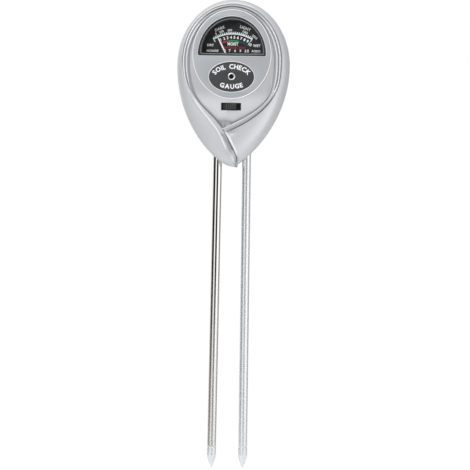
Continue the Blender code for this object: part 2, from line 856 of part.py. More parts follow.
def makeBoard():
    z = switchHigh
    board = block("circuit_board", (-13.0, 13.0), (-2.9, -1.3), (209.5, 226.5), boardGreen)
    holes = []
    for side in (-1, 1):
        for i in range(4):
            place = (-6.0 + 4.0 * i, z + side * 2.0)
            holes.append(rod(f"pin_hole_{side}_{i}", "Y", place, 0.65, (-5.0, 1.0), sides=8))
        place = (side * boardPostX, boardPostZ)
        holes.append(rod(f"screw_hole_{side}", "Y", place, 1.1, (-5.0, 1.0), sides=12))
    cut(board, *holes)
    for side, word in ((-1, "left"), (1, "right")):
        place = (side * boardPostX, -1.0, boardPostZ)
        screwSet(f"board_screw_{word}", place, "rear", 1.6, 0.9, 0.8, 6.6, steel)
    for name, high in (("moisture_resistor", 222.4), ("light_resistor", 211.4)):
        body = rod(name, "X", (0.9, high), 1.0, (-3.0, 3.0), resistorTan, 14)
        legs = [(-5.0, -0.9, high), (-5.0, 0.5, high), (-4.6, 0.9, high), (0.0, 0.9, high)]
        legs += [(4.6, 0.9, high), (5.0, 0.5, high), (5.0, -0.9, high)]
        join(body, meshFromCurve(wire(name + "_legs", legs, 0.3, steps=2)))


# ---- probes ----


def makeProbes():
    grip = block("probe_holder", (-12.5, 12.5), (-4.0, 4.0), (199.0, 205.0), blackPlastic)
    tools = []
    for side in (-1, 1):
        tools.append(probeBore(side, probeRadius + fit, (190.0, 215.0), f"holder_bore_{side}"))
    cut(grip, *tools)

    looks = {-1: nickel, 1: aluminium}
    for side, word in ((-1, "left"), (1, "right")):
        axis = holder(f"probe_axis_{word}", (side * probeAtPoint, 0.0, 0.0), -side * probeLean)
        tube = [
            (0.8, probeTop),
            (probeRadius - 0.3, probeTop),
            (probeRadius, probeTop - 0.3),
            (probeRadius, tipHigh + fit),
            (2.1, tipHigh + fit),
            (2.1, 196.0),
            (0.0, 197.0),
        ]
        tube.insert(0, (0.0, 200.0))
        tube.insert(1, (0.8, 200.5))
        body = turned(f"probe_tube_{word}", tube, (0.0, 0.0, 0.0), "up", looks[side], 24)
        point = [
            (0.0, 23.0),
            (1.4, 23.0),
            (1.8, 22.6),
            (1.8, tipHigh),
            (2.7, tipHigh),
            (2.65, 8.2),
            (2.05, 4.9),
            (1.05, 2.3),
            (0.25, 0.25),
            (0.0, 0.0),
        ]
        end = turned(f"probe_tip_{word}", point, (0.0, 0.0, 0.0), "up", aluminium, 24)

        disc = rod(f"terminal_tag_{word}", "Z", (0.0, 0.0), 2.3, (206.8, 207.2), brass, 24)
        tail = block(f"tag_tail_{word}", sorted((-side * 1.0, -side * 5.2)), (-0.8, 0.8), (206.8, 207.2))
        hole = rod(f"tag_hole_{word}", "Z", (0.0, 0.0), 0.85, (205.0, 209.0), None, 16)
        join(disc, tail)
        cut(disc, hole)
        screw = screwSet(
            f"terminal_screw_{word}", (0.0, 0.0, 207.5), "up", 1.5, 1.0, 0.5, 6.0, steel
        )
        slot = bpy.data.objects[f"terminal_screw_{word}_slot"]
        carry(axis, body, end, disc, tail, hole, screw, slot)


def makeLeads():
    for side, word in ((-1, "left"), (1, "right")):
        material = redSleeve if side < 0 else blackSleeve
        path = [
            (side * 4.4, 0.1, 207.9),
            (side * 4.2, 0.9, 209.6),
            (side * 6.4, 1.7, 212.2),
            (side * 8.6, 0.9, 213.6),
            (side * 9.2, -0.5, 213.8),
        ]
        wire(f"probe_lead_{word}", path, 0.4, material, steps=3)
        path = [
            (side * 0.9, -9.4, 233.2),
            (side * 1.0, -8.9, 231.6),
            (side * 1.5, -8.3, 228.6),
            (side * 2.2, -6.2, 227.0),
            (side * 2.6, -4.4, 225.2),
            (side * 2.6, -3.6, 224.4),
        ]
        wire(f"cell_lead_{word}", path, 0.3, material, steps=3)
        path = [
            (side * 2.4, 7.1, 231.0),
            (side * 3.0, 7.0, 228.6),
            (side * 4.6, 4.2, 226.2),
            (side * 7.0, 1.2, 225.0),
            (side * 7.6, -0.6, 224.6),
        ]
        wire(f"coil_lead_{word}", path, 0.3, material, steps=3)


makeFrontCover()
makeRearCover()
makeCoverScrews()
makeFace()
makeDial()
makeNeedle()
makeMovement()
makeSwitch()
makeBoard()
makeProbes()
makeLeads()
bpy.context.view_layer.update()
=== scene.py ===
import json
import math

import bmesh
import bpy
import numpy as np
from mathutils import Matrix, Vector


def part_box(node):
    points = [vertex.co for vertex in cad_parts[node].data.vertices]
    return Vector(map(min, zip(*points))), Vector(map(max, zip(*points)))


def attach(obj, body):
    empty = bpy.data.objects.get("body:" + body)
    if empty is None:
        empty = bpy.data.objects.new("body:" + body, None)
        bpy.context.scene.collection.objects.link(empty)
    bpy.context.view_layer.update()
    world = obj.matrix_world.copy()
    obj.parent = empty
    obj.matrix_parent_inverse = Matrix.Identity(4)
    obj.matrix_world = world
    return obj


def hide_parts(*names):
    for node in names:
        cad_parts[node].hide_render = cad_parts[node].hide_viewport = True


# A three-way soil meter: leaf-shaped silver head, D window over a needle dial, oval badge with
# a light cell behind a ring, slide switch, and a bright and a satin probe.
# Shapes are written in millimetres; makePiece turns them into metres. The dial faces -Y.

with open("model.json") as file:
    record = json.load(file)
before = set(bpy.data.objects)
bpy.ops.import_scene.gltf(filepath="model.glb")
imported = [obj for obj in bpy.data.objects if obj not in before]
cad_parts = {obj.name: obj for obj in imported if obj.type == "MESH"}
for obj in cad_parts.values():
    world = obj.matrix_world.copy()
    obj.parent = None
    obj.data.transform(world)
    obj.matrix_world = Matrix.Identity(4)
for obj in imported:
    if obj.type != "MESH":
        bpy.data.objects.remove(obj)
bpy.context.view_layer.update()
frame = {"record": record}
mm = 0.001


def boxOf(node):
    # a CAD node's lowest and highest corners in millimetres: metres / 0.001, to three places
    return [np.round(np.array(corner) / mm, 3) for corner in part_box(node)]


def midOf(node):
    # the middle of a node's box: (low + high) / 2
    low, high = boxOf(node)
    return np.round((low + high) / 2, 3)


def halfOf(node):
    # half of a node's box: (high - low) / 2
    low, high = boxOf(node)
    return np.round((high - low) / 2, 3)


print("frame: CAD model loaded")


def signedVolume(points, tris):
    # sum of v0 . (v1 x v2) / 6 over the triangles: positive when faces point outwards
    a, b, c = (points[tris[:, k]] for k in range(3))
    return float(np.einsum("ij,ij->i", a, np.cross(b, c)).sum() / 6.0)


def gridShape(points, wrapRows=False, wrapCols=True, capStart=False, capEnd=False):
    # joins a rows x cols grid of points into quads; wrapping closes it on itself, and a cap
    # closes an end row with a fan of triangles round the row's mean point
    rows, cols = points.shape[:2]
    index = np.arange(rows * cols).reshape(rows, cols)
    i = np.arange(rows if wrapRows else rows - 1)
    j = np.arange(cols if wrapCols else cols - 1)
    ii, jj = np.meshgrid(i, j, indexing="ij")
    i2, j2 = (ii + 1) % rows, (jj + 1) % cols
    quads = np.stack([index[ii, jj], index[ii, j2], index[i2, j2], index[i2, jj]], -1)
    quads = quads.reshape(-1, 4)
    verts = points.reshape(-1, 3)
    tris = np.zeros((0, 3), int)
    for use, row, flip in ((capStart, 0, True), (capEnd, rows - 1, False)):
        if not use:
            continue
        centre = len(verts)
        verts = np.vstack([verts, points[row].mean(0)])
        k = np.arange(cols)
        fan = [index[row, k], index[row, (k + 1) % cols], np.full(cols, centre)]
        fan = np.stack(fan[::-1] if flip else fan, -1)
        tris = np.vstack([tris, fan])
    both = np.vstack([quads[:, [0, 1, 2]], quads[:, [0, 2, 3]], tris])
    if signedVolume(verts, both) < 0:
        quads, tris = quads[:, ::-1], tris[:, ::-1]
    return verts, quads, tris


def meshFrom(name, shapes, sharp=35.0):
    # several closed shapes in one mesh, smooth except where faces meet at more than sharp
    verts, quads, tris, start = [], [], [], 0
    for points, quad, tri in shapes:
        verts.append(points)
        quads.append(quad + start)
        tris.append(tri + start)
        start += len(points)
    verts, quads, tris = np.vstack(verts) * mm, np.vstack(quads), np.vstack(tris)
    mesh = bpy.data.meshes.new(name)
    loops = np.concatenate([quads.ravel(), tris.ravel()]).astype(np.int32)
    sizes = np.concatenate([np.full(len(quads), 4), np.full(len(tris), 3)])
    mesh.vertices.add(len(verts))
    mesh.loops.add(len(loops))
    mesh.polygons.add(len(sizes))
    mesh.vertices.foreach_set("co", verts.ravel().astype(np.float32))
    mesh.loops.foreach_set("vertex_index", loops)
    starts = np.concatenate([[0], np.cumsum(sizes)[:-1]]).astype(np.int32)
    mesh.polygons.foreach_set("loop_start", starts)
    mesh.update(calc_edges=True)
    mesh.validate()
    mesh.shade_smooth()
    mesh.set_sharp_from_angle(angle=math.radians(sharp))
    return mesh


def pointsOf(mesh):
    # a mesh's points in millimetres, one row each
    co = np.zeros(len(mesh.vertices) * 3)
    mesh.vertices.foreach_get("co", co)
    return co.reshape(-1, 3) / mm


def setTone(mesh, tone):
    # writes a tone of painted light and shade for each point, which withCavity's materials multiply their
    # colour by
    layer = mesh.attributes.new("cavity", "FLOAT", "POINT")
    layer.data.foreach_set("value", tone.astype(np.float32))


def addPiece(name, mesh, material, body, hides=()):
    # a finished mesh becomes a piece: one material, the body it rides on, and the CAD nodes that it
    # stands for, which it hides
    obj = bpy.data.objects.new(name, mesh)
    bpy.context.scene.collection.objects.link(obj)
    mesh.materials.clear()
    mesh.materials.append(material)
    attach(obj, body)
    if hides:
        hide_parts(*hides)
    return obj


def makePiece(name, shapes, material, body, hides=(), sharp=35.0):
    # closed shapes, joined in one mesh, become a piece
    return addPiece(name, meshFrom(name, shapes, sharp), material, body, hides)


def smoothStep(low, high, value):
    # 0 below low, 1 above high, 3t^2 - 2t^3 between
    t = np.clip((value - low) / (high - low), 0.0, 1.0)
    return t * t * (3.0 - 2.0 * t)


def smoothLine(knots, count):
    # a Catmull-Rom curve through the knots, (2b + (c - a) t + (2a - 5b + 4c - d) t^2 +
    # (3b - a - 3c + d) t^3) / 2 between b and c, read at even steps of arc length
    p = np.array(knots, float)
    ends = np.vstack([2 * p[0] - p[1], p, 2 * p[-1] - p[-2]])
    t = np.linspace(0, 1, 24, endpoint=False)[:, None]
    out = []
    for i in range(len(p) - 1):
        a, b, c, d = ends[i : i + 4]
        out.append(
            0.5
            * (2 * b + (c - a) * t + (2 * a - 5 * b + 4 * c - d) * t**2 + (3 * b - a - 3 * c + d) * t**3)
        )
    line = np.vstack(out + [p[-1:]])
    walk = np.concatenate([[0], np.cumsum(np.linalg.norm(np.diff(line, axis=0), axis=1))])
    even = np.linspace(0, walk[-1], count)
    return np.stack([np.interp(even, walk, line[:, k]) for k in range(line.shape[1])], -1)


def latheShape(profile, at, lean=0.0, cols=96, axis="Z"):
    # a profile of (radius, height) carried round an axis: x = r cos a, y = r sin a, z = h
    r, h = np.array(profile, float).T
    a = np.linspace(0, 2 * np.pi, cols, endpoint=False)
    x, y = r[:, None] * np.cos(a), r[:, None] * np.sin(a)
    z = np.repeat(h[:, None], cols, 1)
    if axis == "Y":
        x, y, z = x, -z, y
    turn = math.radians(lean)
    xr = x * math.cos(turn) + z * math.sin(turn)
    zr = -x * math.sin(turn) + z * math.cos(turn)
    return np.stack([xr + at[0], y + at[1], zr + at[2]], -1)


def ringShape(centreLine, profile):
    # a small closed cross-section (out, forward) carried round a closed line in the XZ plane:
    # each point moves along the line's outward normal by out and towards -Y by forward
    line = np.array(centreLine, float)
    ahead = np.roll(line, -1, 0) - np.roll(line, 1, 0)
    ahead /= np.linalg.norm(ahead, axis=1)[:, None]
    normal = np.stack([ahead[:, 1], -ahead[:, 0]], -1)
    out, forward = np.array(profile, float).T
    x = line[None, :, 0] + out[:, None] * normal[None, :, 0]
    z = line[None, :, 1] + out[:, None] * normal[None, :, 1]
    y = np.repeat(-forward[:, None], len(line), 1)
    return gridShape(np.stack([x, y, z], -1), wrapRows=True)


def ellipseLine(rx, rz, mid, count=240):
    # an ellipse in the XZ plane: x = rx cos a, z = mid + rz sin a
    a = np.linspace(0, 2 * np.pi, count, endpoint=False)
    return np.stack([rx * np.cos(a), mid + rz * np.sin(a)], -1)


def dLine(half, low, top, corner=0.9, count=320):
    # half an ellipse that stands on a straight foot with small round corners
    a = np.linspace(0.045, np.pi - 0.045, 120)
    base = low + 0.4
    arch = np.stack([half * np.cos(a), base + (top - base) * np.sin(a)], -1)
    b = np.linspace(np.pi, 1.5 * np.pi, 9)
    left = np.stack([-half + corner + corner * np.cos(b), low + corner + corner * np.sin(b)], -1)
    right = left[::-1] * [-1, 1]
    loop = np.vstack([arch, left, right, arch[:1]])
    walk = np.concatenate([[0], np.cumsum(np.linalg.norm(np.diff(loop, axis=0), axis=1))])
    even = np.linspace(0, walk[-1], count, endpoint=False)
    return np.stack([np.interp(even, walk, loop[:, k]) for k in (0, 1)], -1)


def flatPlate(name, loops, near, far, bevel, material, body, hides=()):
    # closed outlines filled in the XZ plane between two depths, with rounded rims
    curve = bpy.data.curves.new(name, "CURVE")
    curve.dimensions = "2D"
    curve.fill_mode = "BOTH"
    curve.extrude = ((near - far) / 2 - bevel) * mm
    curve.bevel_depth = bevel * mm
    curve.bevel_resolution = 2
    for loop in loops:
        spline = curve.splines.new("POLY")
        spline.points.add(len(loop) - 1)
        spline.use_cyclic_u = True
        flat = np.zeros((len(loop), 4))
        flat[:, :2] = np.array(loop) * mm
        flat[:, 3] = 1.0
        spline.points.foreach_set("co", flat.ravel())
    curve.offset = -bevel * mm
    obj = bpy.data.objects.new(name + "Flat", curve)
    bpy.context.scene.collection.objects.link(obj)
    bpy.context.view_layer.update()
    made = obj.evaluated_get(bpy.context.evaluated_depsgraph_get())
    mesh = bpy.data.meshes.new_from_object(made)
    bpy.data.objects.remove(obj)
    co = np.zeros(len(mesh.vertices) * 3)
    mesh.vertices.foreach_get("co", co)
    co = co.reshape(-1, 3)
    placed = np.stack([co[:, 0], -(near + far) / 2 * mm - co[:, 2], co[:, 1]], -1)
    mesh.vertices.foreach_set("co", placed.ravel())
    weld(mesh)
    mesh.shade_smooth()
    mesh.set_sharp_from_angle(angle=math.radians(28))
    return addPiece(name, mesh, material, body, hides)


def weld(mesh):
    # merges the points that a curve's caps leave loose, those closer than 0.0001 mm
    bm = bmesh.new()
    bm.from_mesh(mesh)
    bmesh.ops.remove_doubles(bm, verts=bm.verts, dist=1e-7)
    bmesh.ops.dissolve_degenerate(bm, edges=bm.edges, dist=1e-8)
    bmesh.ops.recalc_face_normals(bm, faces=bm.faces)
    bm.to_mesh(mesh)
    bm.free()


def carve(mesh, cutterShapes, name):
    # takes the cutters out of a closed mesh in one step, and returns the mesh that is left
    whole = bpy.data.objects.new(name + "Whole", mesh)
    tool = bpy.data.objects.new(name + "Tool", meshFrom(name + "Tool", cutterShapes))
    for obj in (whole, tool):
        bpy.context.scene.collection.objects.link(obj)
    step = whole.modifiers.new("Cut", "BOOLEAN")
    step.operation = "DIFFERENCE"
    step.solver = "EXACT"
    step.object = tool
    bpy.context.view_layer.update()
    made = whole.evaluated_get(bpy.context.evaluated_depsgraph_get())
    result = bpy.data.meshes.new_from_object(made)
    bpy.data.objects.remove(whole)
    bpy.data.objects.remove(tool)
    return result


def boxShape(x, y, z, rounding=0.2, steps=5):
    # a box with rounded upright edges: a rounded rectangle in XZ carried along Y, and drawn in by
    # half the rounding at both ends
    corner = np.linspace(0, np.pi / 2, steps)
    cx, cz = (x[0] + x[1]) / 2, (z[0] + z[1]) / 2
    hx, hz = (x[1] - x[0]) / 2 - rounding, (z[1] - z[0]) / 2 - rounding
    ring = []
    for k, (sx, sz) in enumerate(((1, 1), (-1, 1), (-1, -1), (1, -1))):
        a = corner + k * np.pi / 2
        across = cx + sx * hx + rounding * np.cos(a)
        upward = cz + sz * hz + rounding * np.sin(a)
        ring.append(np.stack([across, upward], -1))
    ring = np.vstack(ring)
    soft = rounding * 0.5
    rows = []
    for depth, shrink in ((y[0], soft), (y[0] + soft, 0), (y[1] - soft, 0), (y[1], soft)):
        mid = np.array([cx, cz])
        scale = 1.0 - shrink / np.array([(x[1] - x[0]) / 2, (z[1] - z[0]) / 2])
        flat = mid + (ring - mid) * scale
        rows.append(np.stack([flat[:, 0], np.full(len(flat), depth), flat[:, 1]], -1))
    return gridShape(np.array(rows), capStart=True, capEnd=True)


def addNode(nodes, kind, values=None, **settings):
    # a shader node: first its own settings, then the values of its inputs
    node = nodes.new("ShaderNode" + kind)
    for key, value in settings.items():
        setattr(node, key, value)
    for key, value in (values or {}).items():
        node.inputs[key].default_value = value
    return node


def newMaterial(name):
    # a material with its node tree and its main shader
    material = bpy.data.materials.new(name)
    material.use_nodes = True
    return material, material.node_tree, material.node_tree.nodes["Principled BSDF"]


def finish(name, color, roughness, metallic=0.0, grain=2600.0, depth=0.00002, strength=0.25,
           vary=0.06, coat=0.0, alongZ=1.0, roughVary=0.08, specular=0.5):
    # one colour that drifts a little over broad patches, a fine grain in the normal and a
    # rougher or smoother touch here and there; alongZ below 1 draws the grain out along Z
    material, tree, shader = newMaterial(name)
    nodes, links = tree.nodes, tree.links
    place = addNode(nodes, "TexCoord")
    stretch = addNode(nodes, "Mapping", {"Scale": (1.0, 1.0, alongZ)})
    links.new(place.outputs["Object"], stretch.inputs["Vector"])
    broad = addNode(nodes, "TexNoise", {"Scale": 90.0, "Detail": 4.0})
    links.new(stretch.outputs["Vector"], broad.inputs["Vector"])
    fine = addNode(nodes, "TexNoise", {"Scale": grain, "Detail": 3.0})
    links.new(stretch.outputs["Vector"], fine.inputs["Vector"])
    tint = addNode(nodes, "Mix", {
        "A": (*[c * (1 - vary) for c in color], 1.0),
        "B": (*[min(1.0, c * (1 + vary)) for c in color], 1.0),
    }, data_type="RGBA")
    links.new(broad.outputs["Fac"], tint.inputs["Factor"])
    links.new(tint.outputs["Result"], shader.inputs["Base Color"])
    rough = addNode(nodes, "MapRange", {
        "To Min": max(0.02, roughness - roughVary),
        "To Max": roughness + roughVary,
    })
    links.new(broad.outputs["Fac"], rough.inputs["Value"])
    links.new(rough.outputs["Result"], shader.inputs["Roughness"])
    bump = addNode(nodes, "Bump", {"Strength": strength, "Distance": depth})
    links.new(fine.outputs["Fac"], bump.inputs["Height"])
    links.new(bump.outputs["Normal"], shader.inputs["Normal"])
    shader.inputs["Metallic"].default_value = metallic
    shader.inputs["Coat Weight"].default_value = coat
    shader.inputs["Coat Roughness"].default_value = 0.12
    shader.inputs["Specular IOR Level"].default_value = specular
    return material


def silverPaint(name, look):
    # silver paint: bright flakes of about 0.15 mm in the base, each with its own tone, under a
    # thin satin coat
    material = finish(name, look["color"], look["roughness"], look["metallic"], grain=2200.0,
                      depth=0.000012, strength=0.2, vary=0.03, coat=look["coat"], roughVary=0.04)
    nodes, links = material.node_tree.nodes, material.node_tree.links
    shader = nodes["Principled BSDF"]
    place = addNode(nodes, "TexCoord")
    flake = addNode(nodes, "TexVoronoi", {"Scale": look["flake"]})
    links.new(place.outputs["Object"], flake.inputs["Vector"])
    tone = addNode(nodes, "Mix", {"Factor": look["flakeTone"]}, data_type="RGBA",
                   blend_type="SOFT_LIGHT")
    base = shader.inputs["Base Color"].links[0].from_socket
    links.new(base, tone.inputs["A"])
    links.new(flake.outputs["Color"], tone.inputs["B"])
    grey = addNode(nodes, "HueSaturation", {"Saturation": 0.25})
    links.new(tone.outputs["Result"], grey.inputs["Color"])
    links.new(grey.outputs["Color"], shader.inputs["Base Color"])
    return material


def withCavity(material):
    # the base colour is multiplied by the piece's painted tone of light and shade
    nodes, links = material.node_tree.nodes, material.node_tree.links
    shader = nodes["Principled BSDF"]
    tone = addNode(nodes, "Attribute", attribute_name="cavity")
    mix = addNode(nodes, "Mix", {"Factor": 1.0}, data_type="RGBA", blend_type="MULTIPLY")
    base = shader.inputs["Base Color"].links[0].from_socket
    links.new(base, mix.inputs["A"])
    links.new(tone.outputs["Fac"], mix.inputs["B"])
    links.new(mix.outputs["Result"], shader.inputs["Base Color"])
    return material


def wovenPrint(name, look):
    # two sets of slanting lines cross into small diamonds: height = |sin u| * |sin v|
    material = finish(name, look["color"], look["roughness"], look["metallic"], vary=0.05)
    nodes, links = material.node_tree.nodes, material.node_tree.links
    shader = nodes["Principled BSDF"]
    place = addNode(nodes, "TexCoord")
    heights = []
    for sign in (-1, 1):
        turn = addNode(nodes, "Mapping", {"Rotation": (0.0, sign * math.radians(look["slant"]), 0.0)})
        links.new(place.outputs["Object"], turn.inputs["Vector"])
        wave = addNode(nodes, "TexWave", {"Scale": look["lines"], "Distortion": 0.0},
                       bands_direction="X")
        links.new(turn.outputs["Vector"], wave.inputs["Vector"])
        heights.append(wave.outputs["Fac"])
    weave = addNode(nodes, "Math", operation="MULTIPLY")
    links.new(heights[0], weave.inputs[0])
    links.new(heights[1], weave.inputs[1])
    tone = addNode(nodes, "Mix", {
        "A": (*[c * look["dark"] for c in look["color"]], 1.0),
        "B": (*[min(1.0, c * look["light"]) for c in look["color"]], 1.0),
    }, data_type="RGBA")
    links.new(weave.outputs["Value"], tone.inputs["Factor"])
    links.new(tone.outputs["Result"], shader.inputs["Base Color"])
    bump = addNode(nodes, "Bump", {"Strength": look["bump"], "Distance": 0.00004})
    links.new(weave.outputs["Value"], bump.inputs["Height"])
    links.new(bump.outputs["Normal"], shader.inputs["Normal"])
    return material


def drawnMetal(name, look):
    # fine scratches drawn along the tube, thin rings of wear round it, and a broad drift
    material = finish(name, look["color"], look["roughness"], 1.0, grain=look["grain"],
                      depth=look["depth"], strength=look["strength"], vary=look["vary"],
                      alongZ=look["stretch"], roughVary=look["roughVary"])
    nodes, links = material.node_tree.nodes, material.node_tree.links
    shader = nodes["Principled BSDF"]
    place = addNode(nodes, "TexCoord")
    split = addNode(nodes, "SeparateXYZ")
    links.new(place.outputs["Object"], split.inputs["Vector"])
    # the soil dulls the metal towards the point: roughness + wear * smoothstep of the height
    wear = addNode(nodes, "MapRange", {
        "From Min": 0.185,
        "From Max": 0.035,
        "To Min": 0.0,
        "To Max": look["wear"],
    }, interpolation_type="SMOOTHSTEP")
    links.new(split.outputs["Z"], wear.inputs["Value"])
    both = addNode(nodes, "Math", operation="ADD")
    links.new(shader.inputs["Roughness"].links[0].from_socket, both.inputs[0])
    links.new(wear.outputs["Result"], both.inputs[1])
    links.new(both.outputs["Value"], shader.inputs["Roughness"])
    return material


def clearPlastic(name):
    # clear acrylic that lets light through, with a faint haze: roughness = 0.03 times a noise
    material, tree, shader = newMaterial(name)
    shader.inputs["Base Color"].default_value = (0.97, 0.98, 0.985, 1.0)
    shader.inputs["Transmission Weight"].default_value = 1.0
    shader.inputs["IOR"].default_value = 1.49
    place = addNode(tree.nodes, "TexCoord")
    haze = addNode(tree.nodes, "TexNoise", {"Scale": 300.0})
    tree.links.new(place.outputs["Object"], haze.inputs["Vector"])
    rough = addNode(tree.nodes, "MapRange", {"To Min": 0.0, "To Max": 0.03})
    tree.links.new(haze.outputs["Fac"], rough.inputs["Value"])
    tree.links.new(rough.outputs["Result"], shader.inputs["Roughness"])
    return material


looks = {
    "silver_paint": {"color": (0.66, 0.69, 0.722), "roughness": 0.42, "metallic": 0.42,
                     "coat": 0.12, "flake": 5200.0, "flakeTone": 0.18},
    "fascia_grey": {"color": (0.515, 0.535, 0.555), "roughness": 0.45, "metallic": 0.35,
                    "slant": 45.0, "lines": 420.0, "dark": 0.93, "light": 1.06, "bump": 0.12},
    "badge_dark": {"color": (0.040, 0.042, 0.045), "roughness": 0.5, "metallic": 0.0,
                   "slant": 45.0, "lines": 300.0, "dark": 0.5, "light": 3.0, "bump": 0.4},
    "nickel_bright": {"color": (0.80, 0.79, 0.775), "roughness": 0.045, "grain": 1500.0,
                      "depth": 0.000001, "strength": 0.06, "vary": 0.03, "stretch": 0.02,
                      "roughVary": 0.015, "wear": 0.27},
    "aluminium_satin": {"color": (0.90, 0.905, 0.91), "roughness": 0.34, "grain": 1800.0,
                        "depth": 0.000002, "strength": 0.15, "vary": 0.04, "stretch": 0.02,
                        "roughVary": 0.04, "wear": 0.05},
}

materials = {
    "silver_paint": silverPaint("silverPaint", looks["silver_paint"]),
    "fascia_grey": wovenPrint("fasciaPrint", looks["fascia_grey"]),
    "badge_dark": wovenPrint("badgePrint", looks["badge_dark"]),
    "frame_dark": finish("smokedFrame", (0.05, 0.052, 0.055), 0.2, 0.25, coat=0.6, vary=0.12),
    "clear_plastic": clearPlastic("clearWindow"),
    "dial_black": finish("dialCard", (0.008, 0.008, 0.009), 0.6, 0.0, grain=3400.0, vary=0.2),
    "needle_white": finish("whiteEnamel", (0.96, 0.96, 0.94), 0.4, 0.0, vary=0.02),
    "black_plastic": finish("blackPlastic", (0.03, 0.03, 0.031), 0.24, 0.0, grain=3000.0,
                            depth=0.00002, strength=0.25, vary=0.15, coat=0.4),
    "nickel_bright": drawnMetal("brightNickel", looks["nickel_bright"]),
    "aluminium_satin": drawnMetal("satinAluminium", looks["aluminium_satin"]),
    "steel": finish("plainSteel", (0.56, 0.57, 0.58), 0.3, 1.0, grain=2200.0, vary=0.08),
    "brass": finish("plainBrass", (0.78, 0.60, 0.30), 0.28, 1.0, grain=2200.0, vary=0.1),
    "copper_wire": finish("woundCopper", (0.62, 0.27, 0.14), 0.34, 1.0, grain=5200.0,
                          depth=0.00005, strength=0.7, vary=0.12, alongZ=6.0),
    "magnet_grey": finish("sinteredMagnet", (0.16, 0.16, 0.17), 0.5, 0.7, grain=1500.0,
                          depth=0.00005, strength=0.5, vary=0.15),
    "board_laminate": finish("boardLaminate", (0.42, 0.27, 0.11), 0.5, 0.0, grain=1600.0,
                             vary=0.12, alongZ=0.3),
    "cell_dark": finish("cellGlass", (0.010, 0.008, 0.014), 0.12, 0.0, coat=0.6, vary=0.2),
    "resistor_tan": finish("resistorLacquer", (0.66, 0.50, 0.32), 0.42, 0.0, vary=0.08),
    "lead_red": finish("redSleeve", (0.5, 0.02, 0.02), 0.42, 0.0, vary=0.08),
    "lead_black": finish("blackSleeve", (0.015, 0.015, 0.015), 0.42, 0.0, vary=0.15),
}
# a lighter copy of the paint for the raised rims round the fascia, the window and the badge: a painted
# highlight
materials["paintedHighlightRim"] = finish("paintedHighlightRim", (0.93, 0.94, 0.95), 0.35, 0.2, coat=0.2, vary=0.02)
# silver paint whose colour is multiplied by the front cover's painted light and shade
shadedSilver = withCavity(silverPaint("shadedSilver", looks["silver_paint"]))
printWhite = finish("whiteInk", (0.98, 0.98, 0.97), 0.6, vary=0.04)
printGrey = finish("greyInk", (0.84, 0.85, 0.85), 0.6, vary=0.06)
printCyan = finish("paleCyanInk", (0.87, 0.96, 0.96), 0.6, vary=0.05)
printRed = finish("redInk", (0.40, 0.022, 0.045), 0.6, vary=0.08)
printGreen = finish("greenInk", (0.015, 0.26, 0.085), 0.6, vary=0.08)
printBlue = finish("blueInk", (0.009, 0.04, 0.085), 0.6, vary=0.08)

for entry in frame["record"]["subparts"]:
    node = bpy.data.objects.get(entry["node"])
    if node is None:
        continue
    node.data.materials.clear()
    node.data.materials.append(materials[entry["material_slot"]])
bpy.data.objects["window_lens"].visible_shadow = False  # clear plastic lets the lamps reach the dial
print("materials: every slot has its finish")


headLow, headHigh = boxOf("front_cover")
head = {
    "half": headHigh[0],
    "mid": 240.5,
    "top": headHigh[2],
    "low": headLow[2],
    "powerRight": 1.62,
    "powerLeft": 1.44,
    "tipShift": 2.9,
    "tipSpread": 8.0,
    "depth": 13.7,  # the shoulder's depth in front of the parting line before it falls
    "fall": 4.0,
}
face = {
    "mid": 243.0,
    "half": 27.1,
    "rise": 31.8,
    "foot": (-4.9, 202.9),
    "bendRight": ((27.2, 221.4), (21.8, 215.0)),
    "bendLeft": ((-27.0, 218.3), (-14.0, 215.2)),
    "panel": 11.5,
}
# where the left leaf laps over the right one, and the crest of the left leaf, in (x, z)
crease = smoothLine(
    [(-4.9, 202.9), (-3.6, 201.2), (-2.0, 198.7), (-0.3, 195.7), (1.0, 192.9), (2.4, 189.4),
     (3.3, 186.4), (3.5, 183.4), (2.9, 180.0)],
    400,
)
crest = smoothLine(
    [(-26.5, 256.6), (-27.85, 252.3), (-28.7, 247.8), (-29.0, 243.2), (-28.45, 236.5), (-26.8, 229.8),
     (-23.05, 221.6), (-17.6, 213.9), (-11.6, 206.7),
     (-8.8, 203.1), (-6.5, 199.7), (-5.1, 197.0), (-3.9, 194.2), (-1.9, 189.3), (-0.2, 185.6),
     (2.2, 181.2)],
    400,
)


def headLine(a):
    # half an ellipse over the middle; below it |cos| to a power draws the leaf point, which a
    # bell curve in angle pulls to one side
    c, s = np.cos(a), np.sin(a)
    power = np.where(c > 0, head["powerRight"], head["powerLeft"])
    low = np.sign(c) * head["half"] * np.abs(c) ** power
    away = (np.degrees(a) % 360.0) - 270.0
    low = low + head["tipShift"] * np.exp(-((away / head["tipSpread"]) ** 2))
    x = np.where(s >= 0, head["half"] * c, low)
    z = head["mid"] + s * np.where(s >= 0, head["top"] - head["mid"], head["mid"] - head["low"])
    return np.stack([x, z], -1)


def bezier(a, b, c, d, t):
    # (1-t)^3 a + 3 (1-t)^2 t b + 3 (1-t) t^2 c + t^3 d
    a, b, c, d = (np.array(p, float) for p in (a, b, c, d))
    t = t[:, None]
    return (1 - t) ** 3 * a + 3 * (1 - t) ** 2 * t * b + 3 * (1 - t) * t * t * c + t**3 * d


def faceLine(a):
    # half an ellipse over the middle, then a Bezier on each side down to the leaf's foot
    turn = np.degrees(a) % 360.0
    f = face
    top = np.stack([f["half"] * np.cos(a), f["mid"] + f["rise"] * np.sin(a)], -1)
    right = bezier((f["half"], f["mid"]), *f["bendRight"], f["foot"], (360.0 - turn) / 90.0)
    left = bezier((-f["half"], f["mid"]), *f["bendLeft"], f["foot"], (turn - 180.0) / 90.0)
    return np.where((turn <= 180.0)[:, None], top, np.where((turn > 270.0)[:, None], right, left))


def outward(line):
    # unit normals of a line in (x, z): its direction (u, w) turned to (w, -u)
    ahead = np.gradient(line, axis=0)
    ahead /= np.linalg.norm(ahead, axis=1)[:, None]
    return np.stack([ahead[:, 1], -ahead[:, 0]], -1)


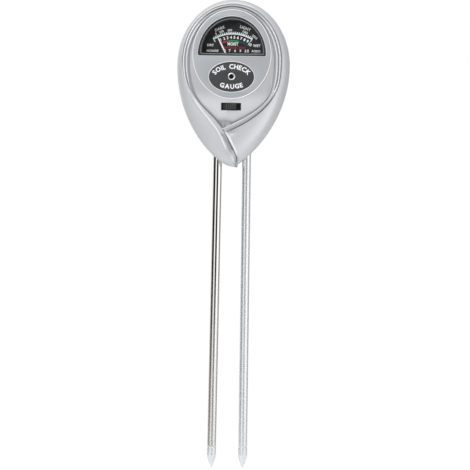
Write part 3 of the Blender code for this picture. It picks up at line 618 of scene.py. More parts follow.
def insetFace(line, gap):
    # moves a line that starts and ends in the same corner inwards by gap: a point L from the
    # corner is read at sqrt(L^2 + (gap cot h)^2), so both sides meet on the corner's bisector
    half = len(line) // 2
    normal = outward(line)
    first = (line[1] - line[0]) / np.linalg.norm(line[1] - line[0])
    last = (line[-2] - line[-1]) / np.linalg.norm(line[-2] - line[-1])
    h = math.acos(float(np.clip(first @ last, -1, 1))) / 2
    out = np.empty_like(line)
    gap = np.broadcast_to(gap, len(line))
    for part in (slice(0, half), slice(len(line) - 1, half - 1, -1)):
        p, n = line[part], normal[part]
        walk = np.concatenate([[0], np.cumsum(np.linalg.norm(np.diff(p, axis=0), axis=1))])
        to = np.sqrt(walk**2 + (gap[part] / math.tan(h)) ** 2)
        q = np.stack([np.interp(to, walk, p[:, k]) for k in (0, 1)], -1)
        m = np.stack([np.interp(to, walk, n[:, k]) for k in (0, 1)], -1)
        out[part] = q - m * gap[part][:, None]
    return out


def domeDepth(x, z):
    # depth = D (1 - q^4)^(1/4), where q is how far the point lies from the middle of the head
    # towards the outline in its direction
    dx, dz = x, z - head["mid"]
    table = np.radians(np.linspace(0.0, 360.0, 2881))
    line = headLine(table)
    bearing = np.unwrap(np.arctan2(line[:, 1] - head["mid"], line[:, 0]))
    reach = np.hypot(line[:, 0], line[:, 1] - head["mid"])
    own = np.arctan2(dz, dx) % (2 * np.pi)
    limit = np.interp(own, bearing, reach, period=2 * np.pi)
    q = np.clip(np.hypot(dx, dz) / limit, 0.0, 1.0)
    return head["depth"] * (1.0 - q ** head["fall"]) ** (1.0 / head["fall"])


def nearest(line, x, z):
    # distance from each point to a line: to its closest knot, less the part along the line
    walk = np.concatenate([[0], np.cumsum(np.linalg.norm(np.diff(line, axis=0), axis=1))])
    even = np.linspace(0, walk[-1], int(walk[-1] / 0.4) + 2)
    knots = np.stack([np.interp(even, walk, line[:, k]) for k in (0, 1)], -1)
    ahead = np.gradient(knots, axis=0)
    ahead /= np.linalg.norm(ahead, axis=1)[:, None]
    flat = np.stack([x.ravel(), z.ravel()], -1)
    out = np.empty(len(flat))
    for start in range(0, len(flat), 8000):
        part = flat[start : start + 8000]
        near = ((part[:, None, :] - knots[None]) ** 2).sum(-1).argmin(1)
        away = part - knots[near]
        along = np.clip((away * ahead[near]).sum(-1), -0.4, 0.4)
        out[start : start + 8000] = np.sqrt(np.maximum((away**2).sum(-1) - along**2, 0.0))
    return out.reshape(x.shape)


def insideLine(line, x, z):
    # even-odd rule: a point is inside when a level ray from it crosses the closed line an odd
    # number of times
    a, b = line, np.roll(line, -1, 0)
    out = np.zeros(len(x), bool)
    for start in range(0, len(x), 8000):
        px, pz = x[start : start + 8000, None], z[start : start + 8000, None]
        spans = (a[:, 1] > pz) != (b[:, 1] > pz)
        at = a[:, 0] + (pz - a[:, 1]) * (b[:, 0] - a[:, 0]) / (b[:, 1] - a[:, 1] + 1e-12)
        out[start : start + 8000] = (spans & (at > px)).sum(1) % 2 == 1
    return out


frontCover = {
    "columns": 640,
    "crowd": 0.72,  # how strongly columns crowd towards the crease
    "pocket": (23.8, 26.75, 247.3),
    "slot": (6.0, 2.25, midOf("switch_knob")[2]),  # half length, half height, height of its middle
    "edgeDrop": 0.75,  # the panel's fall towards the border
    "footDrop": 1.9,
    "wall": 0.6,  # width of the wall between the panel and the border
    "wallWider": 0.75,
    "ridge": 0.5,
    "valley": 0.35,
    "gutter": 0.7,
    "gutterMarks": (0.15, 0.3, 0.45, 0.6, 0.75, 0.9, 1.05, 1.25, 1.5, 1.9),  # rows close to the border
    "facet": 1.6,
    # painted shade: tones below 1 that darken the paint in the walls, grooves, gutter, crease, facet, panel
    # sides, lower corner (foot), top band (crown), right border (ribbon) and under the border; apron above
    # 1 is painted light on the lower panel
    "shades": {"wall": 0.4, "groove": 0.4, "gutter": 0.5, "crease": 0.32, "facet": 0.99, "foot": 0.66,
               "crown": 0.66, "side": 0.92, "panel": 0.84, "apron": 1.13, "ribbon": 0.7, "under": 0.8},
    "edge": 1.6,  # how much lighter the painted highlights on the edges are
}


def frontCoverShape():
    # rows run from the fascia's pocket out over the panel, the doubled border and the shoulder
    # to the parting line, then back along the inside; columns run round the head from one side
    # of the crease to the other
    f = frontCover
    t = np.linspace(0.0, 1.0, f["columns"])
    t = t - f["crowd"] * np.sin(2 * np.pi * t) / (2 * np.pi)
    a = np.radians(270.02 + 359.96 * t)
    deg = np.degrees(a)
    rx, rz, mid = f["pocket"]
    pocket = np.stack([rx * np.cos(a), mid + rz * np.sin(a)], -1)
    inner = faceLine(a)
    inner[0] = inner[-1] = face["foot"]
    rim = headLine(a)
    normal = outward(inner)
    onRight = smoothStep(345.0, 320.0, deg) * (deg < 450)
    onLeft = smoothStep(550.0, 588.0, deg)
    double = 1.0 - onRight - onLeft

    # the border's outer edge: an offset that widens downwards on the right, the leaf's crest
    # on the left
    wide = 1.9 - 0.45 * onRight + 1.05 * smoothStep(312.0, 278.0, deg) * (deg < 450)
    wide = wide - 0.35 * smoothStep(410.0, 440.0, deg) * smoothStep(490.0, 460.0, deg)
    border = inner + normal * wide[:, None]
    tLeft = np.clip((deg - 540.0) / 90.0, 0.0, 1.0)
    near = ((inner[:, None, :] - crest[None]) ** 2).sum(-1).argmin(1) / (len(crest) - 1)
    near = np.maximum.accumulate(np.where(deg > 518.0, near, 0.0))
    start = np.interp(0.90, tLeft, near)
    fan = np.clip((tLeft - 0.90) / 0.10, 0.0, 1.0)
    along = np.where(tLeft > 0.90, start + (0.985 - start) * fan**1.15, near)
    onCrest = np.stack([np.interp(along, np.linspace(0, 1, len(crest)), crest[:, k]) for k in (0, 1)], -1)
    blend = smoothStep(520.0, 548.0, deg)[:, None]
    border = border * (1 - blend) + onCrest * blend

    # close to the crease every column bends with it
    nearRight = np.clip(1.0 - (deg - 270.0) / 16.0, 0.0, 1.0) ** 1.5
    nearLeft = fan**1.5
    creaseWalk = np.linspace(0, 1, len(crease))

    def onCrease(u):
        # the point of the crease at the share u of its length
        return np.stack([np.interp(u, creaseWalk, crease[:, k]) for k in (0, 1)], -1)

    footRight, footLeft = 0.105, 0.955
    border = border + (onCrease(footRight) - border[0]) * nearRight[:, None]
    border = border + (onCrease(footLeft) - border[-1]) * (nearLeft**2)[:, None]

    rows, depths = [], []

    def put(line, depth):
        # one more row of the grid
        rows.append(line)
        depths.append(depth)

    # the pocket's lip and wall, then the panel, which falls towards the border on the sides
    # and the top and towards its lower corner
    wall = f["wall"] + f["wallWider"] * double
    wallFoot = insetFace(inner, wall)
    sides = f["edgeDrop"] * (0.5 + 0.5 * double)

    def sink(line):
        # the panel's lower corner dips by footDrop times a smooth step of the distance to it
        off = np.hypot(line[:, 0] + 3.6, (line[:, 1] - 203.5) * 0.9)
        return f["footDrop"] * smoothStep(6.5, 0.5, off)

    put(pocket * [0.93, 1.0], np.full(len(a), 9.6))
    put(pocket * [0.93, 1.0], np.full(len(a), 10.6))
    put(pocket, np.full(len(a), 10.6))
    put(pocket, np.full(len(a), face["panel"] - 0.12))
    put(pocket + outward(pocket) * 0.12, np.full(len(a), face["panel"]))
    for s in np.linspace(0.06, 1.0, 24):
        line = pocket + (wallFoot - pocket) * s
        gap = np.linalg.norm(wallFoot - line, axis=1)
        drop = sides * (1.0 - smoothStep(0.0, 3.6, gap)) ** 1.3 + 0.35 * np.exp(-((gap / 0.35) ** 2))
        tilt = 0.9 * smoothStep(222.0, 204.0, line[:, 1]) * smoothStep(0.0, 1.0, np.full(len(a), s))
        put(line, face["panel"] - drop - tilt - sink(line))

    # wall of the border, then the border itself: two ridges with a groove between them on top
    # and at the sides, one flat on the right, one rising to the crest on the left
    top = domeDepth(inner[:, 0], inner[:, 1])
    low = np.minimum(depths[-1], top)
    for part, share in ((0.72, 0.06), (0.45, 0.4), (0.2, 0.85)):
        put(insetFace(inner, wall * part), low + (top + f["ridge"] * 0.8 - low) * share)
    put(inner, top + f["ridge"])
    for v in np.linspace(0.05, 1.0, 20):
        line = inner + (border - inner) * v
        bowR = (onCrease(footRight * v) - line[0]) * nearRight[:, None]
        bowL = (onCrease(footLeft * v) - line[-1]) * nearLeft[:, None]
        line = line + bowR + bowL
        wave = 0.5 + 0.5 * math.cos(2 * math.pi * v)
        lift = double * (f["ridge"] * wave - f["valley"] * (1 - wave))
        lift = lift + onRight * f["ridge"] * (1.0 - 0.4 * abs(2 * v - 1) ** 8)
        lift = lift + onLeft * (0.5 - 0.55 * math.sin(math.pi * v) + 0.5 * v**3)
        put(line, domeDepth(line[:, 0], line[:, 1]) + lift)
    lastLift = depths[-1] - domeDepth(rows[-1][:, 0], rows[-1][:, 1])
    borderRow = len(rows) - 1

    # gutter outside the border, then the shoulder down to the parting line
    span = np.linalg.norm(rim - border, axis=1)
    room = double + 0.55 * (1 - double)
    marks = [np.minimum(d * room / span, 0.02 * d * 8) for d in f["gutterMarks"]]
    marks += [marks[-1] + (1 - marks[-1]) * s for s in np.sin(np.linspace(0.0, np.pi / 2, 42)[1:])]
    for s in marks:
        flatS = np.clip(s, 0.0, 1.0)
        line = border + (rim - border) * flatS[:, None]
        straight = border[0] + (rim[0] - border[0]) * flatS[:, None]
        bowR = (onCrease(footRight + (1 - footRight) * flatS) - straight) * nearRight[:, None]
        straight = border[-1] + (rim[-1] - border[-1]) * flatS[:, None]
        bowL = (onCrease(footLeft + (1 - footLeft) * flatS) - straight) * nearLeft[:, None]
        line = line + (bowR + bowL) * np.clip((1 - flatS) * 6, 0.0, 1.0)[:, None]
        away = flatS * span
        gutterAt = 0.72 * double + 0.34 * (1 - double)
        gutterWide = 0.34 * double + 0.17 * (1 - double)
        fade = 0.35 + 0.5 * onLeft
        gutter = f["gutter"] * np.exp(-(((away - gutterAt) / gutterWide) ** 2)) * (1 - onLeft)
        put(line, domeDepth(line[:, 0], line[:, 1]) + lastLift * np.exp(-((away / fade) ** 2)) - gutter)
    grid, depth = np.array(rows), np.array(depths)

    # the fold: on the left leaf the band beside the crease falls away from the crest into it,
    # on the right leaf the edge lifts into a lip above and dips below
    x, z = grid[..., 0], grid[..., 1]
    dCrest, dCrease = nearest(crest, x, z), nearest(crease, x, z)
    row = np.arange(len(rows))[:, None]
    outer = row >= borderRow - 20
    left = (np.arange(len(a)) > len(a) // 2)[None, :]
    share = dCrest / (dCrest + dCrease + 1e-6)
    amount = f["facet"] * smoothStep(203.0, 198.5, z) * (1.0 - 0.8 * smoothStep(190.5, 183.0, z))
    band = left & outer & (row <= borderRow) & (z < 204.0)
    fall = smoothStep(0.02, 0.75, share) - 0.45 * smoothStep(0.55, 1.0, share) * smoothStep(195.0, 189.0, z)
    depth = depth - amount * fall * band
    rightLeaf = outer & ~left & (z < 203.0)
    lip = 0.8 * np.exp(-((dCrease / 0.75) ** 2)) * smoothStep(186.0, 190.0, z) * smoothStep(202.0, 200.0, z)
    dip = 0.9 * np.exp(-((dCrease / 1.0) ** 2)) * smoothStep(190.5, 185.5, z) * smoothStep(180.5, 183.0, z)
    hollow = 0.7 * np.exp(-(((x - 0.2) / 3.0) ** 2) - ((z - 200.6) / 1.5) ** 2)
    depth = depth + (lip - dip - hollow) * rightLeaf
    y = -np.maximum(depth, 0.15)

    # the inside, 2 mm behind
    middle = np.array([0.0, head["mid"]])
    edge = middle + (rows[-1] - middle) * 0.945
    insideRows, insideY = [edge], [np.full(len(a), -0.15)]
    for k in np.linspace(1.0, 0.0, 16)[1:-1]:
        line = pocket * [0.93, 1.0] + (edge - pocket * [0.93, 1.0]) * k
        inside = domeDepth(line[:, 0] * 1.06, middle[1] + (line[:, 1] - middle[1]) * 1.06) - 2.0
        insideRows.append(line)
        insideY.append(-np.clip(inside, 0.15, 9.6))
    y[-1] = -0.15
    grid = np.concatenate([grid, np.array(insideRows)])
    y = np.concatenate([y, np.array(insideY)])
    gutterLine = border + normal * (0.72 * double + 0.34 * (1 - double))[:, None]
    guides = {
        "inner": inner,
        "border": border,
        "wall": insetFace(inner, 0.34),
        "groove": (inner + (border - inner) * 0.5)[(onRight < 0.5) & (onLeft < 0.97)],
        "gutter": gutterLine[(deg < 560.0) & (deg > 272)],
    }
    return np.stack([grid[..., 0], y, grid[..., 1]], -1), guides


def cavity(mesh, guides):
    # a painted tone of light and shade for each point of the front: 1 on open skin, painted shade in the
    # grooves, with a bell curve of the distance to each groove's line, and painted highlights above 1 on
    # the edges
    x, y, z = pointsOf(mesh).T
    d = {**frontCover["shades"], "edge": frontCover["edge"]}
    tone = np.ones(len(x))

    def darken(amount, weight):
        # a tone of amount where weight is 1, and no change where it is 0
        return 1.0 - (1.0 - amount) * weight

    dInner = nearest(guides["inner"], x, z)
    inside = insideLine(guides["inner"], x, z)
    lower = smoothStep(234.0, 222.0, z)
    # painted shade on the border's wall low down, and a grey band of painted shade beside it on the sides
    # and top
    tone *= darken(d["wall"], np.exp(-((nearest(guides["wall"], x, z) / 0.32) ** 2)) * lower)
    side = smoothStep(0.1, 0.5, dInner) * smoothStep(3.0, 1.8, dInner)
    tone *= darken(d["side"], side * inside * (1 - lower))
    fades = np.where(x < 0.0, smoothStep(219.0, 232.0, z), 1.0)
    # painted shade in the groove between the ridges and in the gutter outside the border
    tone *= darken(d["groove"], np.exp(-((nearest(guides["groove"], x, z) / 0.36) ** 2)) * fades)
    fades = np.where(x < 0.0, smoothStep(233.0, 247.0, z), 1.0)
    tone *= darken(d["gutter"], np.exp(-((nearest(guides["gutter"], x, z) / 0.3) ** 2)) * fades)
    dCrest, dCrease = nearest(crest, x, z), nearest(crease, x, z)
    # painted shade along the crease
    reach = smoothStep(181.5, 184.0, z) * smoothStep(195.5, 191.5, z)
    reach = reach + smoothStep(200.5, 201.2, z) * smoothStep(203.2, 202.0, z)
    width = 0.36 + 0.2 * smoothStep(192.0, 189.0, z)
    tone *= darken(d["crease"], np.exp(-((dCrease / width) ** 2)) * reach)
    # painted shade on the facet, which lies left of the crease and right of the crest
    atZ = np.interp(z, crease[::-1, 1], crease[::-1, 0])
    crestX = np.interp(z, crest[::-1, 1], crest[::-1, 0])
    share = np.clip((x - crestX) / np.maximum(atZ - crestX, 0.3), 0.0, 1.0)
    tongue = smoothStep(195.0, 190.0, z)
    facet = smoothStep(0.1, 0.45, share) * (x < atZ + 0.05)
    facet = facet * smoothStep(186.0, 189.0, z) * smoothStep(201.5, 198.5, z)
    facet *= 1.0 - tongue * smoothStep(0.55, 0.8, share)
    tone *= darken(d["facet"], facet)
    # painted shade on the panel's sides, and painted light (apron) on its lower part
    tone *= darken(d["panel"], smoothStep(0.2, 0.9, dInner) * inside * smoothStep(217.0, 228.0, z))
    tone *= 1.0 + (d["apron"] - 1.0) * smoothStep(0.5, 2.0, dInner) * inside * smoothStep(226.0, 218.0, z)
    # painted shadow in the panel's lower corner (foot), painted shade in the top band (crown) and between
    # the lines of the border low on the right (ribbon)
    foot = np.exp(-(((x + 3.6) / 3.8) ** 2) - ((z - 206.0) / 2.6) ** 2) * (y < -9.0)
    tone *= darken(d["foot"], foot)
    q = np.hypot(x / 27.3, (z - face["mid"]) / 33.3)
    crown = smoothStep(0.955, 0.975, q) * smoothStep(1.012, 0.995, q)
    tone *= darken(d["crown"], crown * smoothStep(262.0, 272.0, z))
    dBorder = nearest(guides["border"], x, z)
    ribbon = smoothStep(0.25, 0.75, dInner / (dInner + dBorder + 1e-6))
    ribbon *= smoothStep(3.2, 2.7, dInner + dBorder)
    ribbon *= smoothStep(-4.5, -1.0, x) * smoothStep(226.0, 218.0, z) * (y < -8.0)
    tone *= darken(d["ribbon"], ribbon)
    # painted highlights along the edges: both ridges, the crest, and the right leaf's lip along the crease
    edge = (d["edge"] - 1.0) * (1.0 - 0.85 * smoothStep(262.0, 271.0, z))
    tone *= 1.0 + edge * np.exp(-((dInner / 0.34) ** 2)) * (0.3 + 0.7 * (1 - lower))
    leftSide = x < 0.0
    ridgeEnd = np.where(leftSide, smoothStep(219.0, 222.0, z), smoothStep(220.0, 226.0, z))
    tone *= 1.0 + edge * np.exp(-((dBorder / 0.34) ** 2)) * ridgeEnd
    shown = smoothStep(188.0, 195.0, z) * smoothStep(222.0, 219.0, z)
    tone *= 1.0 + 1.25 * edge * np.exp(-((dCrest / 0.42) ** 2)) * shown
    lip = np.exp(-(((dCrease - 0.6) / 0.45) ** 2)) * (x > atZ)
    lip = lip * smoothStep(186.0, 189.0, z) * smoothStep(201.6, 200.6, z)
    tone *= 1.0 + 1.5 * edge * lip
    # painted shade on the right leaf under the border, beside the crease
    under = np.exp(-(((x - 1.0) / 3.6) ** 2) - ((z - 200.9 - 0.25 * x) / 1.5) ** 2)
    tone *= darken(d["under"], under * (x > atZ + 0.5))
    setTone(mesh, tone)


bore = {"radius": 2.9, "low": 150.0, "top": 198.0, "foot": 9.4, "drift": 0.7, "rise": 175.0}


def probeCutters():
    # two round tools on the probes' axes, which lean in by atan(drift / rise)
    shapes = []
    for side in (-1, 1):
        lean = -side * math.degrees(math.atan2(bore["drift"], bore["rise"]))
        profile = [(bore["radius"], bore["low"]), (bore["radius"], bore["top"])]
        points = latheShape(profile, (side * bore["foot"], 0.0, 0.0), lean, cols=48)
        shapes.append(gridShape(points, capStart=True, capEnd=True))
    return shapes


coverGrid, coverGuides = frontCoverShape()
shape = gridShape(coverGrid, wrapRows=True)
halfLong, halfTall, slotMid = frontCover["slot"]
slotUp = (slotMid - halfTall, slotMid + halfTall)
slotTool = boxShape((-halfLong, halfLong), (-20.0, -8.0), slotUp, 0.25)
coverMesh = carve(meshFrom("frontCoverBody", [shape]), [slotTool] + probeCutters(), "frontCover")
coverMesh.shade_smooth()
coverMesh.set_sharp_from_angle(angle=math.radians(38))
cavity(coverMesh, coverGuides)
addPiece("frontCover", coverMesh, shadedSilver, "head", ("front_cover",))
print("front cover: panel, border, fold and shoulder")


rearCover = {"columns": 420, "rows": 54, "depth": 14.4, "flat": 0.35, "fall": 2.6,
             "screws": [(-24.6, 256.0), (24.6, 256.0), (0.4, 190.5)]}


def rearCoverShape():
    # each ring is the head's outline scaled by s about its middle, at depth
    # D (1 - t^2.6)^(1/2.6), t = (s - flat)/(1 - flat); the inside is the same 2 mm further in
    r = rearCover
    a = np.linspace(0, 2 * np.pi, r["columns"], endpoint=False)
    line = headLine(a)
    middle = np.array([0.0, head["mid"]])
    rise = np.sin(np.linspace(0, np.pi / 2, r["rows"]))
    s = np.concatenate([[0.02, 0.2], r["flat"] + (1 - r["flat"]) * rise])
    t = np.clip((s - r["flat"]) / (1 - r["flat"]), 0, 1)
    y = r["depth"] * (1 - t ** r["fall"]) ** (1 / r["fall"])
    y = np.maximum(y, 0.15)
    flat = middle + (line - middle)[None] * s[:, None, None]
    outside = np.stack([flat[..., 0], np.repeat(y[:, None], len(a), 1), flat[..., 1]], -1)
    inY = np.maximum(y - 2.0, 0.15)[::-3]
    inS = (s * 0.945)[::-3]
    inside = middle + (line - middle)[None] * inS[:, None, None]
    inside = np.stack([inside[..., 0], np.repeat(inY[:, None], len(a), 1), inside[..., 1]], -1)
    return np.concatenate([outside, inside])


shape = gridShape(rearCoverShape(), capStart=True, capEnd=True)
tools = probeCutters()
for x, z in rearCover["screws"]:
    well = [(0.0, -20.0), (2.0, -20.0), (2.0, -7.5), (1.2, -7.5), (1.2, -3.0), (0.0, -3.0)]
    points = latheShape(well[1:-1], (x, 0.0, z), cols=40, axis="Y")
    tools.append(gridShape(points, capStart=True, capEnd=True))
rearMesh = carve(meshFrom("rearCoverBody", [shape]), tools, "rearCover")
rearMesh.shade_smooth()
rearMesh.set_sharp_from_angle(angle=math.radians(38))
addPiece("rearCover", rearMesh, materials["silver_paint"], "head", ("rear_cover",))

# the covers' inner lip closes the parting line a little way in from the skin
seamLip = {"scale": 0.961, "half": 0.6, "deep": 0.4, "columns": 420}
headMiddle = np.array([0.0, head["mid"]])
around = headLine(np.linspace(0, 2 * np.pi, seamLip["columns"], endpoint=False))
lipLine = headMiddle + (around - headMiddle) * seamLip["scale"]
h, deep = seamLip["half"], seamLip["deep"]
lip = ringShape(lipLine, [(-h, -deep), (h, -deep), (h, deep), (-h, deep)])
lipMesh = carve(meshFrom("seamLipBody", [lip]), probeCutters(), "seamLip")
addPiece("seamLip", lipMesh, materials["silver_paint"], "head")
print("rear cover: shell with screw wells, and the lip in the seam")


fascia = {"rx": halfOf("fascia_plate")[0], "rz": halfOf("fascia_plate")[2],
          "mid": midOf("fascia_plate")[2], "near": 11.55, "far": 10.9, "bevel": 0.14}
window = {"half": 20.4, "low": 246.3, "top": 269.9, "seenHalf": 18.1, "seenLow": 248.0, "seenTop": 267.7}
badge = {"rx": halfOf("badge")[0], "rz": halfOf("badge")[2], "mid": midOf("badge")[2],
         "near": 11.72, "far": 10.9, "hole": 2.5}
ringMid = midOf("sensor_ring")[2]

flatPlate(
    "fasciaPlate",
    [
        ellipseLine(fascia["rx"], fascia["rz"], fascia["mid"]),
        dLine(window["half"], window["low"], window["top"]),
        ellipseLine(badge["rx"] + 0.25, badge["rz"] + 0.25, badge["mid"], 160),
    ],
    fascia["near"], fascia["far"], fascia["bevel"], materials["fascia_grey"], "head",
    ("fascia_plate",),
)


def roundBead(out, forward, radius, squash=1.0, steps=12):
    # a small ellipse in (out, forward) for a bead that ringShape carries round a line
    a = np.linspace(0, 2 * np.pi, steps, endpoint=False)
    return np.stack([out + radius * np.cos(a), forward + radius * squash * np.sin(a)], -1)


fasciaLine = ellipseLine(fascia["rx"], fascia["rz"], fascia["mid"], 300)
# a raised rim round the fascia in the painted highlight colour
rimBead = ringShape(fasciaLine, roundBead(0.0, 11.58, 0.3, 0.8))
makePiece("fasciaRim", [rimBead], materials["paintedHighlightRim"], "head")

# the window's frame slopes in from the fascia to the lens in two flats with a lip between
frameLine = dLine(window["half"], window["low"], window["top"])
innerLine = dLine(window["seenHalf"], window["seenLow"], window["seenTop"])


def windowFrameShape():
    # each cross-section point is a share of the way from the outer D to the inner D, at its
    # own depth; the shares and depths make the lip, the slope, the step and the back
    section = [(0.0, 11.0), (0.0, 11.72), (0.05, 11.8), (0.13, 11.78), (0.2, 11.6), (0.48, 10.75),
               (0.53, 10.8), (0.6, 10.78), (0.65, 10.6), (0.95, 9.75), (1.0, 9.6), (1.0, 9.35),
               (0.0, 9.35)]
    share, forward = np.array(section).T
    flat = frameLine[None] + (innerLine - frameLine)[None] * share[:, None, None]
    y = np.repeat(-forward[:, None], flat.shape[1], 1)
    return gridShape(np.stack([flat[..., 0], y, flat[..., 1]], -1), wrapRows=True)


def between(share):
    # outer + (inner - outer) * share, point by point
    return frameLine + (innerLine - frameLine) * share


# a fine bead on the step of the frame, and one on the fascia's edge round the window, each lighter than
# what it sits on as a painted highlight
bead = ringShape(between(0.62), roundBead(0.0, 10.82, 0.2, 0.8))
paintedLipHighlight = finish("paintedLipHighlight", (0.28, 0.29, 0.30), 0.3, 0.3, vary=0.1)
makePiece("frameBead", [bead], paintedLipHighlight, "head")
bead = ringShape(between(-0.09), roundBead(0.0, 11.56, 0.16, 0.8))
makePiece("windowBead", [bead], materials["paintedHighlightRim"], "head")
makePiece("windowFrame", [windowFrameShape()], materials["frame_dark"], "head",
          ("window_frame",), sharp=24.0)

flatPlate(
    "badgePlate",
    [ellipseLine(badge["rx"], badge["rz"], badge["mid"], 160),
     ellipseLine(badge["hole"], badge["hole"], ringMid, 60)],
    badge["near"], badge["far"], 0.1, materials["badge_dark"], "head", ("badge",),
)
# a raised rim round the badge in the painted highlight colour
badgeLine = ellipseLine(badge["rx"] + 0.05, badge["rz"] + 0.05, badge["mid"], 220)
outline = ringShape(badgeLine, roundBead(0.0, 11.62, 0.22, 0.8))
makePiece("badgeRim", [outline], materials["paintedHighlightRim"], "head")

ringProfile = [(1.45, 11.1), (1.4, 11.9), (1.5, 12.08), (1.72, 12.16), (1.98, 12.12), (2.2, 11.95),
               (2.3, 11.75), (2.3, 11.1)]
points = latheShape(ringProfile, (0.0, 0.0, ringMid), cols=72, axis="Y")
makePiece("sensorRing", [gridShape(points, wrapRows=True)], materials["aluminium_satin"], "head",
          ("sensor_ring",))
print("face: fascia, window frame, badge and ring")


def wordMesh(text, size, at, angle, depth, thick=0.04, bold=0.0, squeeze=1.0):
    # a word as a flat mesh, centred: x = at + u cos a - v sin a, z = at + u sin a + v cos a for a
    # letter's point (u, v), standing off the dial by half of thick
    curve = bpy.data.curves.new("word", "FONT")
    curve.body = text
    curve.size = size * mm
    curve.align_x = "CENTER"
    curve.align_y = "CENTER"
    curve.extrude = thick / 2 * mm
    curve.offset = bold * mm
    curve.resolution_u = 3
    curve.space_character = 1.05
    obj = bpy.data.objects.new("word", curve)
    bpy.context.scene.collection.objects.link(obj)
    bpy.context.view_layer.update()
    made = obj.evaluated_get(bpy.context.evaluated_depsgraph_get())
    mesh = bpy.data.meshes.new_from_object(made)
    bpy.data.objects.remove(obj)
    mesh.calc_loop_triangles()
    co = pointsOf(mesh)
    tri = np.zeros(len(mesh.loop_triangles) * 3, np.int32)
    mesh.loop_triangles.foreach_get("vertices", tri)
    turn = math.radians(angle)
    u = co[:, 0] * squeeze
    x = at[0] + u * math.cos(turn) - co[:, 1] * math.sin(turn)
    z = at[1] + u * math.sin(turn) + co[:, 1] * math.cos(turn)
    points = np.stack([x, -depth - co[:, 2], z], -1)
    bpy.data.meshes.remove(mesh)
    return points, np.zeros((0, 4), int), tri.reshape(-1, 3).astype(int)


def arcBand(radius, thick, fromDeg, toDeg, depth, steps=60, high=0.04, teeth=0, tooth=0.0, middle=None):
    # a band of a circle about the pivot, from one bearing to another (0 is straight up); with
    # teeth its outer edge steps out and in
    b = np.radians(np.linspace(fromDeg, toDeg, steps))
    middle = pivot[1] if middle is None else middle
    outer = np.full(steps, radius + thick / 2)
    if teeth:
        phase = (np.linspace(0, teeth, steps) % 1.0)
        outer = outer + tooth * smoothStep(0.18, 0.3, phase) * (1 - smoothStep(0.7, 0.82, phase))
    inner = np.full(steps, radius - thick / 2)
    ring = []
    for r, y in ((inner, 0.0), (outer, 0.0), (outer, high), (inner, high)):
        ring.append(np.stack([r * np.sin(b), np.full(steps, -depth - y), middle + r * np.cos(b)], -1))
    grid = np.array(ring)
    return gridShape(np.swapaxes(grid, 0, 1), capStart=True, capEnd=True)


pivotJoint = [j for j in frame["record"]["behaviour"]["joints"] if j["name"] == "needle_swing"][0]
pivot = (0.0, pivotJoint["pos_m"][2] / mm)
dialFront = -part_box("dial_plate")[0][1] / mm + 0.03

dial = {
    "scale": {"middle": 237.6, "radius": 21.9, "thick": 0.62, "from": -32.0, "to": 31.0, "teeth": 22,
              "tooth": 0.95},
    "colours": {"radius": 16.2, "thick": 1.0},
    "numerals": {"radius": 18.2, "size": 2.25},
}

white, grey, cyan, red = [], [], [], []
s = dial["scale"]
cyan.append(arcBand(s["radius"], s["thick"], s["from"], s["to"], dialFront, 620,
                    teeth=s["teeth"], tooth=s["tooth"], middle=s["middle"]))
for bearing in (s["from"], s["to"]):
    cyan.append(arcBand(s["radius"] - 0.5, 2.5, bearing - 0.7, bearing + 0.7, dialFront, 8,
                        middle=s["middle"]))
for number in range(1, 11):
    bearing = -23.5 + 6.5 * (number - 1)
    r = dial["numerals"]["radius"] - (0.8 if number == 10 else 0.0)
    at = (r * math.sin(math.radians(bearing)), pivot[1] + r * math.cos(math.radians(bearing)))
    white.append(wordMesh(str(number), dial["numerals"]["size"], at, -bearing, dialFront, bold=0.09))
c = dial["colours"]
redBand = arcBand(c["radius"], c["thick"], -29.0, -10.5, dialFront, 40)
greenBand = arcBand(c["radius"], c["thick"], -10.0, 13.0, dialFront, 40)
blueBand = arcBand(c["radius"], c["thick"], 13.5, 36.0, dialFront, 40)

white.append(wordMesh("MOIST", 2.5, (-0.1, 253.4), 0.0, dialFront, bold=0.09, squeeze=0.86))
white.append(wordMesh("DRY", 2.0, (-13.5, 252.6), 0.0, dialFront, bold=0.07))
white.append(wordMesh("WET", 2.0, (14.3, 252.6), 0.0, dialFront, bold=0.07))
white.append(wordMesh("DARK", 2.3, (-8.1, 262.5), 21.0, dialFront, bold=0.05))
white.append(wordMesh("LIGHT", 2.3, (7.2, 262.9), -19.0, dialFront, bold=0.05))
for text, x, z, angle in (("0", -10.3, 259.5, 28.0), ("200", -7.0, 260.7, 20.0), ("500", -2.0, 261.6, 7.0),
                          ("1000", 7.1, 260.6, -20.0), ("2000", 12.9, 257.8, -38.0)):
    grey.append(wordMesh(text, 1.75, (x, z), angle, dialFront, bold=0.06))
white.append(wordMesh("ALKALINE", 1.75, (-12.3, 249.3), 0.0, dialFront, bold=0.06, squeeze=0.88))
white.append(wordMesh("ACIDIC", 1.75, (13.9, 249.3), 0.0, dialFront, bold=0.06, squeeze=0.88))
for text, x in (("8", -4.8), ("7", -2.0), ("6", 1.3), ("5", 4.5), ("3.5", 8.3)):
    white.append(wordMesh(text, 2.0, (x, 249.4), 0.0, dialFront, bold=0.09))
for text, x in (("LIME", -4.0), ("SOIL", -0.3), ("ACID", 3.2), ("pH", 6.3)):
    red.append(wordMesh(text, 1.8, (x, 251.3), 0.0, dialFront, bold=0.02))

makePiece("dialWhitePrint", white, printWhite, "head")
makePiece("dialGreyPrint", grey, printGrey, "head")
makePiece("dialScalePrint", cyan, printCyan, "head")
makePiece("dialRedPrint", red + [redBand], printRed, "head")
makePiece("dialGreenPrint", [greenBand], printGreen, "head")
makePiece("dialBluePrint", [blueBand], printBlue, "head")


